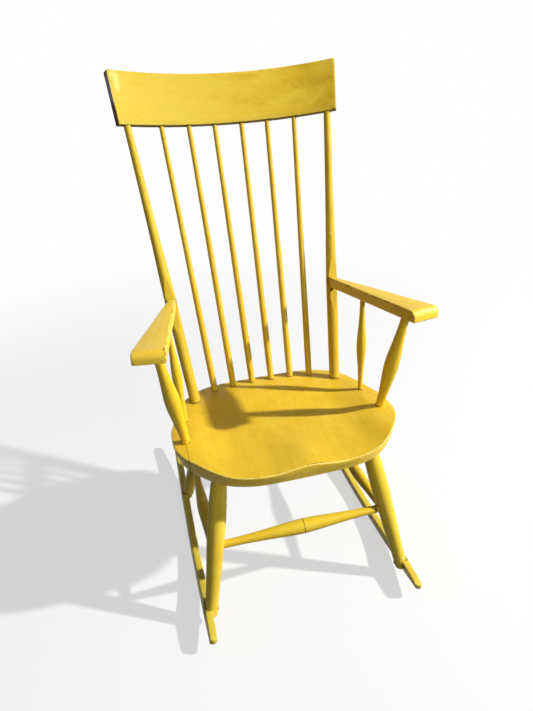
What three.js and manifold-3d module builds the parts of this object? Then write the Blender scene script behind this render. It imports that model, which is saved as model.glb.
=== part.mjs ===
// A rod-back rocking chair in painted wood, in millimetres, +Z up, its front towards -Y.
// Left and right are as seen from the front, so the right side is +X.
// It is laid out in the bench frame: the flat rim of the seat is z = 0 and the middle plane is x = 0.
// At the end the whole chair leans back on its rockers and is raised until they stand on z = 0.
import * as THREE from 'three';
import { mergeVertices } from 'three/addons/utils/BufferGeometryUtils.js';
import Module from 'manifold-3d';

const wasm = await Module();
wasm.setup();

// Fits and cuts
const clearance = 0.3; // left round each tenon and shank, and along each seam
const overrun = 60; // how far a cutter runs past what it cuts

// Seat: a plank with two scoops, a low pommel at the front, and a glued-on board at its left edge
const seatHalfWidth = 257;
const seatFront = 273; // from the cross line y = 0 to the front edge
const seatBack = 154.5;
const seatThickness = 38.5;
const seatArris = 2.5; // rounding of the upper edge
const seatUnderRound = 5; // rounding of the lower edge
const seatUnderInset = 8.5; // the underside stands in from the upper outline
const roundMiddleShare = 0.3; // of a rounding's radius, from either face to the middle of the round
const scoopDepth = 12;
const scoopSideShares = [0.5, 0.86]; // the dish fades out between these shares of the half width
const scoopBackShares = [0.5, 0.84]; // and between these shares of the way from the front to the back
const scoopFrontShare = 0.8; // depth of the dish at the front edge
const scoopFrontReachShare = 0.3; // it is at its full depth from this share of the way on
const pommelShare = 0.85; // how much of the dish the pommel fills at the front edge
const pommelSideShare = 0.3;
const pommelBackShare = 0.42;
const seamShare = 0.895; // place of the glued seam on the half width
const seatSteps = 72;
// Half outline from the front middle to the back middle: shares of the half width, and of front or back.
const outlineShares = [
  [0, -1], [0.2, -0.998], [0.38, -0.989], [0.5, -0.966], [0.65, -0.906], [0.772, -0.808],
  [0.88, -0.682], [0.953, -0.565], [0.992, -0.45], [1, -0.33], [0.994, -0.18], [0.956, -0.03],
  [0.893, 0.3], [0.812, 0.6], [0.684, 0.82], [0.535, 0.94], [0.36, 0.985], [0.18, 0.998], [0, 1],
];
const seatRingShares = [0.2, 0.38, 0.53, 0.67, 0.8, 0.91];

// Crest: a flat board bent to an arc, its ends flaring upwards
const backLean = THREE.MathUtils.degToRad(15.35);
const crestApex = 108; // front face at the middle, square to the lean
const crestFoot = 681.5; // lower edge, along the lean
const crestHeight = 118.5;
const crestThickness = 18.2;
const crestRadius = 667;
const crestHalfWidth = 259.6; // at the lower edge
const crestFlareShare = 0.0342; // how much wider the upper edge is
const crestHollow = 2.5; // the upper edge sags by this in the middle
const crestSteps = 20;

// Back: two stiles and six spindles, foot places as shares of the seat, head places of the crest
const stileRadius = 14;
const stileFootShare = [0.7144, 0.4916];
const stileHeadShare = 0.931;
const stileTenonRadius = 5.5;
const stileTenonDepth = 40;
const stileTenonRoot = 11; // how far the tenon is rooted in the stile
const stileShares = [
  [0, 0.91], [0.1, 0.94], [0.28, 0.98], [0.37, 1], [0.46, 0.94], [0.6, 0.79], [0.8, 0.66], [1, 0.59],
];
const spindleRadius = 8.2;
const spindleHeadDepth = 28;
const spindleFootShares = [[0.1, 0.8386], [0.299, 0.82], [0.495, 0.7594]];
const spindleHeadShares = [0.129, 0.3734, 0.629];
const spindleShares = [[0, 0.96], [0.05, 1], [0.25, 0.96], [0.55, 0.85], [0.8, 0.75], [1, 0.7]];
const seatTenonShare = 0.42; // depth of a foot in the seat, of its thickness

// Arms: flat boards butted on a flat of the stile, with a rounded nose
const armThickness = 24.4;
const armBackHeight = 226; // underside at the stile
const armPostHeight = 236.8; // underside at the post
const armBackHalfWidth = 8.3;
const armFrontInner = 27; // from the arm's middle line to its inner edge at the nose
const armFrontOuter = 38;
const armOverhang = 56; // from the post to the nose
const noseRadius = 15;
const noseCorner = 4; // outer front corner, seen from above
const noseSteps = 4;
const stileFlat = 9; // from the stile's middle line to the flat that the arm butts on
const flatRunUp = 62; // the flat runs out over this length above the arm, and below it
const armPostRadius = 16.5;
const armPostFootShare = [0.886, -0.38];
const armPostSplay = 34; // sideways, foot to head
const armPostRake = 49; // forwards, foot to head
const armPostShares = [
  [0, 0.575], [0.1, 0.61], [0.24, 0.76], [0.36, 0.92], [0.45, 1], [0.52, 0.99], [0.62, 0.87],
  [0.75, 0.7], [0.88, 0.58], [1, 0.53],
];
const shortSpindleRadius = 11.5;
const shortSpindleFootShare = [0.85, -0.044];
const shortSpindleReachShare = 0.47; // its head on the arm, from stile to post
const shortSpindleInset = 4; // its head stands in from the arm's middle line
const shortSpindleShares = [
  [0, 0.5], [0.15, 0.55], [0.3, 0.73], [0.42, 0.94], [0.5, 1], [0.58, 0.94], [0.7, 0.73], [0.85, 0.55],
  [1, 0.5],
];
const armTenonShare = 0.55; // depth of a head in the arm, of its thickness

// Rockers: bent runners with a flat at the place where the chair rests
const rockerRadius = 1900;
const rockerLow = -110; // where the underside runs parallel to the seat
const rockerDrop = 390.5; // from the seat's rim to that place
const rockerFront = -305;
const rockerBack = 432;
const rockerInset = 13.5; // from the seat's side to the middle plane of a rocker, at the drop's height
const rockerGauge = seatHalfWidth - rockerInset;
const rockerCantShare = 0.135; // a rocker leans out towards the floor, by this share of its height
const rockerToeShare = 0.009; // the rockers stand wider apart towards the back, by this share of the way
const rockerThickness = 16.5;
const rockerHeight = 32;
const rockerFacet = 50;
const rockerEndFacetShare = 0.2; // the shortest flat left at either end
const rockerTipSteps = 4;
const restTilt = THREE.MathUtils.degToRad(4.7);
// Height along the runner: shares of its length and of its height.
const rockerShares = [
  [0, 0.36], [0.012, 0.52], [0.05, 0.76], [0.105, 1], [0.2, 0.97], [0.5, 0.93], [0.65, 1],
  [0.8, 0.9], [0.93, 0.62], [0.985, 0.42], [1, 0.3],
];

// Legs: turned, notched on the outside over the rocker, their inner cheek running down its face
const legRadius = 20.3;
const legTenonShare = 0.36; // depth of a head in the seat, of its thickness
const frontLegHeadShare = [0.655, -0.6];
const rearLegHeadShare = [0.603, 0.508];
const frontLegFoot = -225; // along the rocker
const rearLegFoot = 181;
const legFootInset = 9.2; // the leg stands in from the rocker's middle plane
const cheekShare = 0.92; // how far the cheek runs down the rocker, of its height
const legShares = [
  [0, 0.75], [0.1, 0.84], [0.22, 0.95], [0.34, 1], [0.48, 0.985], [0.65, 0.9], [0.82, 0.8], [1, 0.715],
];
const cheekEndShares = [[0.5, 0.71], [0.84, 0.6], [0.96, 0.36]]; // of the cheek's length, and of the radius

// Stretchers: turned, thickest at a scribed ring in the middle
const stretcherEndGap = 5; // from a leg's middle line to the end of the tenon
const crossStretcherRadius = 16.8;
const sideStretcherRadius = 15;
const crossStretcherShare = 0.563; // place on the leg, from the seat to the rocker
const sideStretcherShare = 0.657;
const stretcherShares = [[0, 0.52], [0.12, 0.55], [0.26, 0.69], [0.38, 0.87], [0.46, 0.98]];
const scribeDepth = 0.8;
const scribeHalfWidth = 0.9;

// Fasteners
const screwShank = 2.2;
const screwHead = 5.5;
const screwHeadHeight = 3.6;
const screwTipShare = 0.25; // of the shank's radius
const screwDomeShares = [[0.92, 0.45], [0.65, 0.8], [0.3, 0.97]]; // of the head's height, and of its radius
const screwDropShare = 0.33; // below the rocker's upper edge, of its height
const screwSink = 1.4; // the head's underside lies this far inside the leg's surface
const tipCover = 4; // wood left past the tip of a screw or pin
const armScrewHead = 4.6;
const armScrewSink = 1.5; // its head lies this far inside the back of the stile
const armScrewReach = 30; // into the end of the arm
const pinRadius = 2.2;
const pinHeightShare = 0.5; // on the stile's tenon

const stileSegments = 16;
const legSegments = 16;
const spindleSegments = 12;
const screwSegments = 10;

const paint = new THREE.MeshStandardMaterial({ color: 0xe2b93a, roughness: 0.5, metalness: 0 });
const paintedSteel = new THREE.MeshStandardMaterial({ color: 0xcfa634, roughness: 0.42, metalness: 0.3 });
const bareWood = new THREE.MeshStandardMaterial({ color: 0xc9a46a, roughness: 0.7, metalness: 0 });

// Solids and meshes

function solidOf(geometry) {
  const bare = geometry.index ? geometry.toNonIndexed() : geometry.clone();
  bare.deleteAttribute('normal');
  bare.deleteAttribute('uv');
  const merged = mergeVertices(bare);
  const corners = merged.index.array;
  const kept = [];
  for (let i = 0; i < corners.length; i += 3) {
    const [a, b, c] = [corners[i], corners[i + 1], corners[i + 2]];
    if (a !== b && b !== c && c !== a) kept.push(a, b, c);
  }
  return new wasm.Manifold(new wasm.Mesh({
    numProp: 3,
    vertProperties: new Float32Array(merged.attributes.position.array),
    triVerts: new Uint32Array(kept),
  }));
}

function geometryOf(solid) {
  const mesh = solid.getMesh();
  const geometry = new THREE.BufferGeometry();
  geometry.setAttribute('position', new THREE.BufferAttribute(mesh.vertProperties, 3));
  geometry.setIndex(new THREE.BufferAttribute(mesh.triVerts, 1));
  geometry.computeVertexNormals();
  return geometry;
}

function meshOf(name, geometry, material) {
  const mesh = new THREE.Mesh(geometry, material);
  mesh.name = name;
  return mesh;
}

function mirrored(geometry) {
  const flat = geometry.index ? geometry.toNonIndexed() : geometry.clone();
  flat.applyMatrix4(new THREE.Matrix4().makeScale(-1, 1, 1));
  const position = flat.attributes.position;
  for (let i = 0; i < position.count; i += 3) {
    const [x, y, z] = [position.getX(i), position.getY(i), position.getZ(i)];
    position.setXYZ(i, position.getX(i + 2), position.getY(i + 2), position.getZ(i + 2));
    position.setXYZ(i + 2, x, y, z);
  }
  flat.deleteAttribute('normal');
  flat.deleteAttribute('uv');
  const merged = mergeVertices(flat);
  merged.computeVertexNormals();
  return merged;
}

function mirrorPoint(point) {
  return new THREE.Vector3(-point.x, point.y, point.z);
}

// A box given by its lowest and highest corner.
function boxBetween(low, high) {
  const size = new THREE.Vector3().subVectors(high, low);
  const middle = new THREE.Vector3().addVectors(low, high).multiplyScalar(0.5);
  return new THREE.BoxGeometry(size.x, size.y, size.z).translate(middle.x, middle.y, middle.z);
}

// A matrix that puts a shape's own x, y and z along three given directions.
function frameAt(origin, xAxis, yAxis, zAxis) {
  return new THREE.Matrix4().makeBasis(xAxis, yAxis, zAxis).setPosition(origin);
}

// Turned pieces: each has a start, an end, a depth past either, and rows of [distance, radius] between them.

function rowsFrom(shares, length, radius) {
  return shares.map(([along, wide]) => [along * length, wide * radius]);
}

// The closed outline of a turned piece, or of the cutter round it. Past either end run its tenons, or the
// rows given for that end, and a cutter with an open start runs on out of the wood.
function profileOf(piece, grow) {
  const first = piece.rows[0];
  const last = piece.rows[piece.rows.length - 1];
  const startDepth = piece.startDepth + (piece.openStart && grow ? overrun : grow);
  const endDepth = piece.endDepth + grow;
  const rows = [[-startDepth, 0]];
  for (const [share, wide] of piece.startRows ?? [[1, first[1]]]) rows.push([-share * startDepth, wide + grow]);
  for (const [along, wide] of piece.rows) rows.push([along, wide + grow]);
  for (const [share, wide] of piece.endRows ?? [[1, last[1]]]) {
    rows.push([last[0] + share * endDepth, wide + grow]);
  }
  rows.push([last[0] + endDepth, 0]);
  return rows.filter(([along, wide], place) => {
    const before = rows[place - 1];
    return !before || before[0] !== along || before[1] !== wide;
  });
}

function turnedGeometry(piece, grow = 0) {
  const profile = profileOf(piece, grow).map(([along, wide]) => new THREE.Vector2(wide, along));
  return new THREE.LatheGeometry(profile, piece.segments);
}

function alongQuaternion(piece) {
  const direction = new THREE.Vector3().subVectors(piece.end, piece.start).normalize();
  return new THREE.Quaternion().setFromUnitVectors(new THREE.Vector3(0, 1, 0), direction);
}

function turnedSolid(piece, grow = 0) {
  const geometry = turnedGeometry(piece, grow);
  geometry.applyQuaternion(alongQuaternion(piece));
  geometry.translate(piece.start.x, piece.start.y, piece.start.z);
  return solidOf(geometry);
}

function turnedMesh(name, piece, material) {
  const mesh = meshOf(name, geometryOf(solidOf(turnedGeometry(piece))), material);
  mesh.position.copy(piece.start);
  mesh.quaternion.copy(alongQuaternion(piece));
  return mesh;
}

function mirrorPiece(piece) {
  return { ...piece, start: mirrorPoint(piece.start), end: mirrorPoint(piece.end) };
}

function pointAtHeight(piece, height) {
  const share = (height - piece.start.z) / (piece.end.z - piece.start.z);
  return new THREE.Vector3().lerpVectors(piece.start, piece.end, share);
}

// Seat

function onSeat(share, height = 0) {
  const depth = share[1] < 0 ? seatFront : seatBack;
  return new THREE.Vector3(share[0] * seatHalfWidth, share[1] * depth, height);
}

function ramp(value, from, to) {
  return THREE.MathUtils.smoothstep(value, from, to);
}

// How far the scooped upper face lies below the rim: one dish, with a pommel that fades towards the back.
function scoopAt(x, y) {
  const across = Math.abs(x) / seatHalfWidth;
  const along = (y + seatFront) / (seatFront + seatBack);
  const side = 1 - ramp(across, ...scoopSideShares);
  const back = 1 - ramp(along, ...scoopBackShares);
  const front = THREE.MathUtils.lerp(scoopFrontShare, 1, ramp(along, 0, scoopFrontReachShare));
  const pommel = (1 - ramp(across, 0, pommelSideShare)) * (1 - ramp(along, 0, pommelBackShare));
  return scoopDepth * side * back * front * (1 - pommelShare * pommel);
}

function seatGeometry() {
  const half = outlineShares.map((share) => onSeat(share));
  const left = half.slice(1, -1).reverse().map(mirrorPoint);
  const curve = new THREE.CatmullRomCurve3([...half, ...left], true, 'centripetal');
  const outline = curve.getSpacedPoints(seatSteps).slice(0, seatSteps);
  const centre = new THREE.Vector3(0, (seatBack - seatFront) / 2, 0);
  const rings = seatRingShares.map((share) => outline.map((point) => {
    const place = new THREE.Vector3().lerpVectors(centre, point, share);
    return [place.x, place.y, -scoopAt(place.x, place.y)];
  }));
  const edgeRing = (inset, heightAt) => outline.map((point) => {
    const inwards = new THREE.Vector3().subVectors(centre, point).setLength(inset);
    const place = inwards.add(point);
    return [place.x, place.y, heightAt(-scoopAt(point.x, point.y))];
  });
  rings.push(edgeRing(seatArris, (top) => top));
  const arrisMiddle = seatArris * roundMiddleShare;
  rings.push(edgeRing(arrisMiddle, (top) => top - arrisMiddle));
  rings.push(edgeRing(0, (top) => top - seatArris));
  rings.push(edgeRing(seatUnderInset - seatUnderRound, () => seatUnderRound - seatThickness));
  const underMiddle = seatUnderRound * roundMiddleShare;
  rings.push(edgeRing(seatUnderInset - underMiddle, () => underMiddle - seatThickness));
  rings.push(edgeRing(seatUnderInset + seatUnderRound, () => -seatThickness));
  const positions = [[centre.x, centre.y, -scoopAt(centre.x, centre.y)], ...rings.flat()];
  positions.push([centre.x, centre.y, -seatThickness]);
  const index = [];
  const at = (ring, step) => 1 + ring * seatSteps + (step % seatSteps);
  for (let step = 0; step < seatSteps; step += 1) {
    index.push(0, at(0, step), at(0, step + 1));
    for (let ring = 0; ring + 1 < rings.length; ring += 1) {
      index.push(at(ring, step), at(ring + 1, step), at(ring + 1, step + 1));
      index.push(at(ring, step), at(ring + 1, step + 1), at(ring, step + 1));
    }
    index.push(at(rings.length - 1, step), positions.length - 1, at(rings.length - 1, step + 1));
  }
  const geometry = new THREE.BufferGeometry();
  geometry.setAttribute('position', new THREE.Float32BufferAttribute(positions.flat(), 3));
  geometry.setIndex(index);
  return geometry;
}

// Crest and back

const leanMatrix = new THREE.Matrix4().makeRotationX(-backLean);

// The middle of the crest's thickness at a sideways place, as a depth square to the lean.
function crestMiddleDepth(x) {
  const radius = crestRadius + crestThickness / 2;
  return crestApex - crestRadius + Math.sqrt(radius * radius - x * x);
}

function onCrest(x, height) {
  return new THREE.Vector3(x, crestMiddleDepth(x), height).applyMatrix4(leanMatrix);
}

function crestGeometry() {
  const outer = crestRadius + crestThickness;
  const halfAngle = Math.asin(crestHalfWidth / crestRadius);
  const shape = new THREE.Shape();
  const from = Math.PI / 2 - halfAngle;
  const to = Math.PI / 2 + halfAngle;
  shape.absarc(0, 0, outer, from, to, false);
  shape.absarc(0, 0, crestRadius, to, from, true);
  const board = new THREE.ExtrudeGeometry(shape, {
    depth: crestHeight, bevelEnabled: false, curveSegments: crestSteps,
  });
  const position = board.attributes.position;
  for (let i = 0; i < position.count; i += 1) {
    const up = position.getZ(i) / crestHeight;
    const across = position.getX(i) / crestHalfWidth;
    const hollow = crestHollow * up * Math.max(0, 1 - across * across);
    position.setX(i, position.getX(i) * (1 + crestFlareShare * up));
    position.setZ(i, position.getZ(i) - hollow);
  }
  board.translate(0, crestApex - crestRadius, crestFoot);
  return board.applyMatrix4(leanMatrix);
}

const stile = {
  start: onSeat(stileFootShare),
  end: onCrest(stileHeadShare * crestHalfWidth, crestFoot),
  startDepth: seatTenonShare * seatThickness,
  endDepth: stileTenonRadius,
  segments: stileSegments,
};
const stileLength = stile.start.distanceTo(stile.end);
stile.rows = rowsFrom(stileShares, stileLength, stileRadius);
const stileDirection = new THREE.Vector3().subVectors(stile.end, stile.start).normalize();
const stileTenonEnd = new THREE.Vector3().copy(stileDirection).multiplyScalar(stileTenonDepth).add(stile.end);
const stileTenon = {
  start: stile.end,
  end: stileTenonEnd,
  startDepth: stileTenonRoot,
  endDepth: 0,
  segments: spindleSegments,
  rows: [[0, stileTenonRadius], [stileTenonDepth, stileTenonRadius]],
};

const spindles = spindleFootShares.map((footShare, place) => {
  const start = onSeat(footShare);
  const end = onCrest(spindleHeadShares[place] * crestHalfWidth, crestFoot);
  return {
    start,
    end,
    startDepth: seatTenonShare * seatThickness,
    endDepth: spindleHeadDepth,
    segments: spindleSegments,
    rows: rowsFrom(spindleShares, start.distanceTo(end), spindleRadius),
  };
});

// Arms: their own frame runs forwards along the underside, outwards, and up.

const armPostFoot = onSeat(armPostFootShare);
const armPostHead = new THREE.Vector3(
  armPostFoot.x + armPostSplay,
  armPostFoot.y - armPostRake,
  armPostHeight,
);
const stileAtArm = pointAtHeight(stile, armBackHeight);

// The flat on a stile faces straight forwards, and the arm leaves it at an angle.
function squareToStile(way) {
  return way.addScaledVector(stileDirection, -way.dot(stileDirection)).normalize();
}

const flatNormal = squareToStile(new THREE.Vector3(0, -1, 0));
const armScrewWay = squareToStile(new THREE.Vector3().subVectors(armPostHead, stileAtArm));
const flatAcross = new THREE.Vector3().crossVectors(stileDirection, flatNormal);
const armBack = new THREE.Vector3().copy(flatNormal).multiplyScalar(stileFlat).add(stileAtArm);
const armForward = new THREE.Vector3().subVectors(armPostHead, armBack);
const armPostReach = armForward.length();
armForward.normalize();
const armOutward = new THREE.Vector3(-armForward.y, armForward.x, 0).normalize();
const armUp = new THREE.Vector3().crossVectors(armForward, armOutward);
const armLength = armPostReach + armOverhang;
const armMatrix = frameAt(armBack, armForward, armOutward, armUp);

const armPost = {
  start: armPostFoot,
  end: armPostHead,
  startDepth: seatTenonShare * seatThickness,
  endDepth: armTenonShare * armThickness,
  segments: legSegments,
};
armPost.rows = rowsFrom(armPostShares, armPostFoot.distanceTo(armPostHead), armPostRadius);

const shortSpindleHead = new THREE.Vector3().lerpVectors(armBack, armPostHead, shortSpindleReachShare);
shortSpindleHead.addScaledVector(armOutward, -shortSpindleInset);
const shortSpindle = {
  start: onSeat(shortSpindleFootShare),
  end: shortSpindleHead,
  startDepth: seatTenonShare * seatThickness,
  endDepth: armTenonShare * armThickness,
  segments: legSegments,
};
shortSpindle.rows = rowsFrom(
  shortSpindleShares,
  shortSpindle.start.distanceTo(shortSpindle.end),
  shortSpindleRadius,
);

// The flat on the stile: level over the arm, running out to the round above and below it.
function stileFlatCutter() {
  const away = 2 * stileRadius;
  const low = -flatRunUp;
  const high = armThickness + flatRunUp;
  const shape = new THREE.Shape();
  shape.moveTo(stileFlat, 0);
  shape.lineTo(stileRadius, low);
  shape.lineTo(away, low);
  shape.lineTo(away, high);
  shape.lineTo(stileRadius, high);
  shape.lineTo(stileFlat, armThickness);
  const cutter = new THREE.ExtrudeGeometry(shape, { depth: 2 * away, bevelEnabled: false });
  cutter.translate(0, 0, -away);
  const sideways = new THREE.Vector3().crossVectors(flatNormal, stileDirection);
  return cutter.applyMatrix4(frameAt(stileAtArm, flatNormal, stileDirection, sideways));
}

// Everything behind the stile's flat, which the arm stops against.
function behindFlat() {
  const low = new THREE.Vector3(-overrun, -overrun, -overrun);
  const high = new THREE.Vector3(stileFlat + clearance, overrun, overrun);
  return boxBetween(low, high).applyMatrix4(frameAt(stileAtArm, flatNormal, flatAcross, stileDirection));
}

function armSideGeometry() {
  const shape = new THREE.Shape();
  const width = 2 * (armFrontInner + armFrontOuter);
  shape.moveTo(-stileRadius, 0);
  shape.lineTo(armLength, 0);
  shape.lineTo(armLength, armThickness - noseRadius);
  shape.absarc(armLength - noseRadius, armThickness - noseRadius, noseRadius, 0, Math.PI / 2, false);
  shape.lineTo(-stileRadius, armThickness);
  const side = new THREE.ExtrudeGeometry(shape, {
    depth: width, bevelEnabled: false, curveSegments: noseSteps,
  });
  side.rotateX(Math.PI / 2);
  return side.translate(0, width / 2, 0);
}

function armPlanGeometry() {
  const shape = new THREE.Shape();
  const cornerWidth = THREE.MathUtils.lerp(armFrontOuter, armBackHalfWidth, noseCorner / armLength);
  shape.moveTo(-stileRadius, -armBackHalfWidth);
  shape.lineTo(0, -armBackHalfWidth);
  shape.lineTo(armLength, -armFrontInner);
  shape.lineTo(armLength, armFrontOuter - noseCorner);
  shape.quadraticCurveTo(armLength, armFrontOuter, armLength - noseCorner, cornerWidth);
  shape.lineTo(0, armBackHalfWidth);
  shape.lineTo(-stileRadius, armBackHalfWidth);
  const plan = new THREE.ExtrudeGeometry(shape, {
    depth: 2 * armThickness, bevelEnabled: false, curveSegments: noseSteps,
  });
  return plan.translate(0, 0, -armThickness / 2);
}

// Rockers

const rockerCentreHeight = rockerRadius - rockerDrop;

function rockerUnderside(y) {
  const off = y - rockerLow;
  return rockerCentreHeight - Math.sqrt(rockerRadius * rockerRadius - off * off);
}

function sharesAt(shares, along) {
  const place = THREE.MathUtils.clamp(along, 0, 1);
  const after = Math.max(1, shares.findIndex(([next]) => next >= place));
  const [[x0, y0], [x1, y1]] = [shares[after - 1], shares[after]];
  return THREE.MathUtils.mapLinear(place, x0, x1, y0, y1);
}

function rockerUpperSide(y) {
  const along = (y - rockerFront) / (rockerBack - rockerFront);
  return rockerUnderside(y) + rockerHeight * sharesAt(rockerShares, along);
}

// The underside is flats of equal length, one of them centred where the chair rests.
const facetAngle = 2 * Math.asin(rockerFacet / 2 / rockerRadius);

function undersidePlaces() {
  const places = [rockerFront];
  const most = Math.ceil((rockerBack - rockerFront) / rockerFacet);
  const shortest = rockerFacet * rockerEndFacetShare;
  for (let step = -most; step <= most; step += 1) {
    const y = rockerLow + rockerRadius * Math.sin(restTilt + (step + 0.5) * facetAngle);
    if (y > rockerFront + shortest && y < rockerBack - shortest) places.push(y);
  }
  places.push(rockerBack);
  return places;
}

function upperPlaces() {
  return rockerShares.map(([along]) => rockerFront + along * (rockerBack - rockerFront));
}

// The middle plane of a rocker, sideways, at a place along it and a height.
function gaugeAt(y, z) {
  return rockerGauge + rockerToeShare * (y - rockerLow) - rockerCantShare * (z + rockerDrop);
}

// A shape drawn along the runner and put beside its middle plane, sideways from there.
function besideGauge(geometry, sideways, up, drawnUp) {
  const origin = new THREE.Vector3(gaugeAt(0, up) + sideways, 0, up);
  const forwards = new THREE.Vector3(rockerToeShare, 1, 0);
  const across = new THREE.Vector3(1, 0, 0);
  const upwards = new THREE.Vector3(-rockerCantShare, 0, 1);
  return geometry.applyMatrix4(drawnUp
    ? frameAt(origin, forwards, upwards, across)
    : frameAt(origin, forwards, new THREE.Vector3(-1, 0, 0), upwards));
}

// A runner's outline, or all the space below its upper edge, between two faces given from its middle plane.
function rockerGeometry(inner, outer, grow, below) {
  const shape = new THREE.Shape();
  const under = undersidePlaces();
  under.forEach((y, place) => {
    const height = rockerUnderside(y) - below;
    if (place === 0) shape.moveTo(y, height);
    else shape.lineTo(y, height);
  });
  for (const y of upperPlaces().reverse()) shape.lineTo(y, rockerUpperSide(y) + grow);
  const runner = new THREE.ExtrudeGeometry(shape, { depth: outer - inner, bevelEnabled: false });
  return besideGauge(runner, inner, 0, true);
}

const rockerHalf = rockerThickness / 2;

// A runner seen from above, its ends rounded.
function rockerPlanGeometry() {
  const shape = new THREE.Shape();
  shape.absarc(rockerBack - rockerHalf, 0, rockerHalf, -Math.PI / 2, Math.PI / 2, false);
  shape.absarc(rockerFront + rockerHalf, 0, rockerHalf, Math.PI / 2, Math.PI * 1.5, false);
  const plan = new THREE.ExtrudeGeometry(shape, {
    depth: 2 * rockerDrop, bevelEnabled: false, curveSegments: rockerTipSteps,
  });
  return besideGauge(plan, 0, -rockerDrop - rockerHeight, false);
}

// Legs

function makeLeg(headShare, footPlace) {
  const start = onSeat(headShare, -seatThickness);
  const height = rockerUpperSide(footPlace);
  const end = new THREE.Vector3(gaugeAt(footPlace, height) - legFootInset, footPlace, height);
  return {
    start,
    end,
    startDepth: legTenonShare * seatThickness,
    endDepth: cheekShare * rockerHeight,
    endRows: cheekEndShares.map(([along, wide]) => [along, wide * legRadius]),
    segments: legSegments,
    rows: rowsFrom(legShares, start.distanceTo(end), legRadius),
  };
}

const frontLeg = makeLeg(frontLegHeadShare, frontLegFoot);
const rearLeg = makeLeg(rearLegHeadShare, rearLegFoot);

function legRadiusAt(leg, height) {
  const share = (height - leg.start.z) / (leg.end.z - leg.start.z);
  return legRadius * sharesAt(legShares, Math.min(1, share));
}

// Stretchers

function makeStretcher(from, to, radius) {
  const direction = new THREE.Vector3().subVectors(to, from).normalize();
  const start = new THREE.Vector3().copy(from).addScaledVector(direction, stretcherEndGap);
  const end = new THREE.Vector3().copy(to).addScaledVector(direction, -stretcherEndGap);
  const length = start.distanceTo(end);
  const rows = rowsFrom(stretcherShares, length, radius);
  const scribed = [
    [length / 2 - scribeHalfWidth, radius],
    [length / 2, radius - scribeDepth],
    [length / 2 + scribeHalfWidth, radius],
  ];
  const otherHalf = rows.map(([along, wide]) => [length - along, wide]).reverse();
  return {
    start, end, startDepth: 0, endDepth: 0, segments: spindleSegments, rows: [...rows, ...scribed, ...otherHalf],
  };
}

function onLeg(leg, share) {
  return new THREE.Vector3().lerpVectors(leg.start, leg.end, share);
}

function crossStretcher(leg) {
  const right = onLeg(leg, crossStretcherShare);
  return makeStretcher(mirrorPoint(right), right, crossStretcherRadius);
}

const frontStretcher = crossStretcher(frontLeg);
const rearStretcher = crossStretcher(rearLeg);
const sideStretcher = makeStretcher(
  onLeg(frontLeg, sideStretcherShare),
  onLeg(rearLeg, sideStretcherShare),
  sideStretcherRadius,
);

// Fasteners: a round-headed screw through each cheek, a sunk screw through each stile, a pin in the crest

function screwTipRows(length) {
  return [[length - screwShank, screwShank], [length, screwShank * screwTipShare]];
}

function roundScrew(leg) {
  const height = leg.end.z - screwDropShare * rockerHeight;
  const middle = pointAtHeight(leg, height);
  const radius = legRadiusAt(leg, height);
  const start = new THREE.Vector3(middle.x - radius + screwSink, middle.y, height);
  const end = new THREE.Vector3(gaugeAt(middle.y, height) + rockerHalf - tipCover, middle.y, height);
  const length = start.distanceTo(end);
  return {
    start,
    end,
    startDepth: screwHeadHeight,
    endDepth: 0,
    segments: screwSegments,
    startRows: screwDomeShares.map(([share, wide]) => [share, wide * screwHead]),
    rows: [[0, screwHead], [0, screwShank], ...screwTipRows(length)],
  };
}

const armScrewLine = new THREE.Vector3().copy(stileDirection).multiplyScalar(armThickness / 2).add(stileAtArm);

function sunkScrew() {
  const depth = stileRadius - armScrewSink;
  const start = new THREE.Vector3().copy(armScrewLine).addScaledVector(armScrewWay, -depth);
  const end = new THREE.Vector3().copy(armScrewLine).addScaledVector(armScrewWay, stileFlat + armScrewReach);
  const length = start.distanceTo(end);
  const coneEnd = armScrewHead - screwShank;
  return {
    start,
    end,
    startDepth: 0,
    endDepth: 0,
    openStart: true,
    segments: screwSegments,
    rows: [[0, armScrewHead], [coneEnd, screwShank], ...screwTipRows(length)],
  };
}

function crestPin() {
  const middle = new THREE.Vector3().lerpVectors(stile.end, stileTenonEnd, pinHeightShare);
  const turn = Math.asin(middle.x / (crestRadius + crestThickness / 2));
  const inwards = new THREE.Vector3(-Math.sin(turn), -Math.cos(turn), 0).applyMatrix4(leanMatrix);
  const half = crestThickness / 2;
  const start = new THREE.Vector3().copy(middle).addScaledVector(inwards, -half);
  const end = new THREE.Vector3().copy(middle).addScaledVector(inwards, half - tipCover);
  return {
    start,
    end,
    startDepth: 0,
    endDepth: 0,
    openStart: true,
    segments: screwSegments,
    rows: [[0, pinRadius], [start.distanceTo(end), pinRadius]],
  };
}

const frontScrew = roundScrew(frontLeg);
const rearScrew = roundScrew(rearLeg);
const armScrew = sunkScrew();
const pin = crestPin();

// Cutting the wood for its neighbours

function cutFor(solid, pieces) {
  return pieces.reduce((left, piece) => left.subtract(turnedSolid(piece, clearance)), solid);
}

function bothSides(pieces) {
  return [...pieces, ...pieces.map(mirrorPiece)];
}

const intoSeat = bothSides([stile, ...spindles, armPost, shortSpindle, frontLeg, rearLeg]);
const wholeSeat = cutFor(solidOf(seatGeometry()), intoSeat);

// The space left of the seam, as far as a place given from the seam.
function leftOfSeam(past) {
  const reach = seatHalfWidth + seatFront + seatBack;
  const low = new THREE.Vector3(-reach, -reach, -reach);
  const high = new THREE.Vector3(-seamShare * seatHalfWidth + past, reach, reach);
  return solidOf(boxBetween(low, high));
}

const crestSolid = cutFor(solidOf(crestGeometry()), bothSides([...spindles, stileTenon, pin]));

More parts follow.
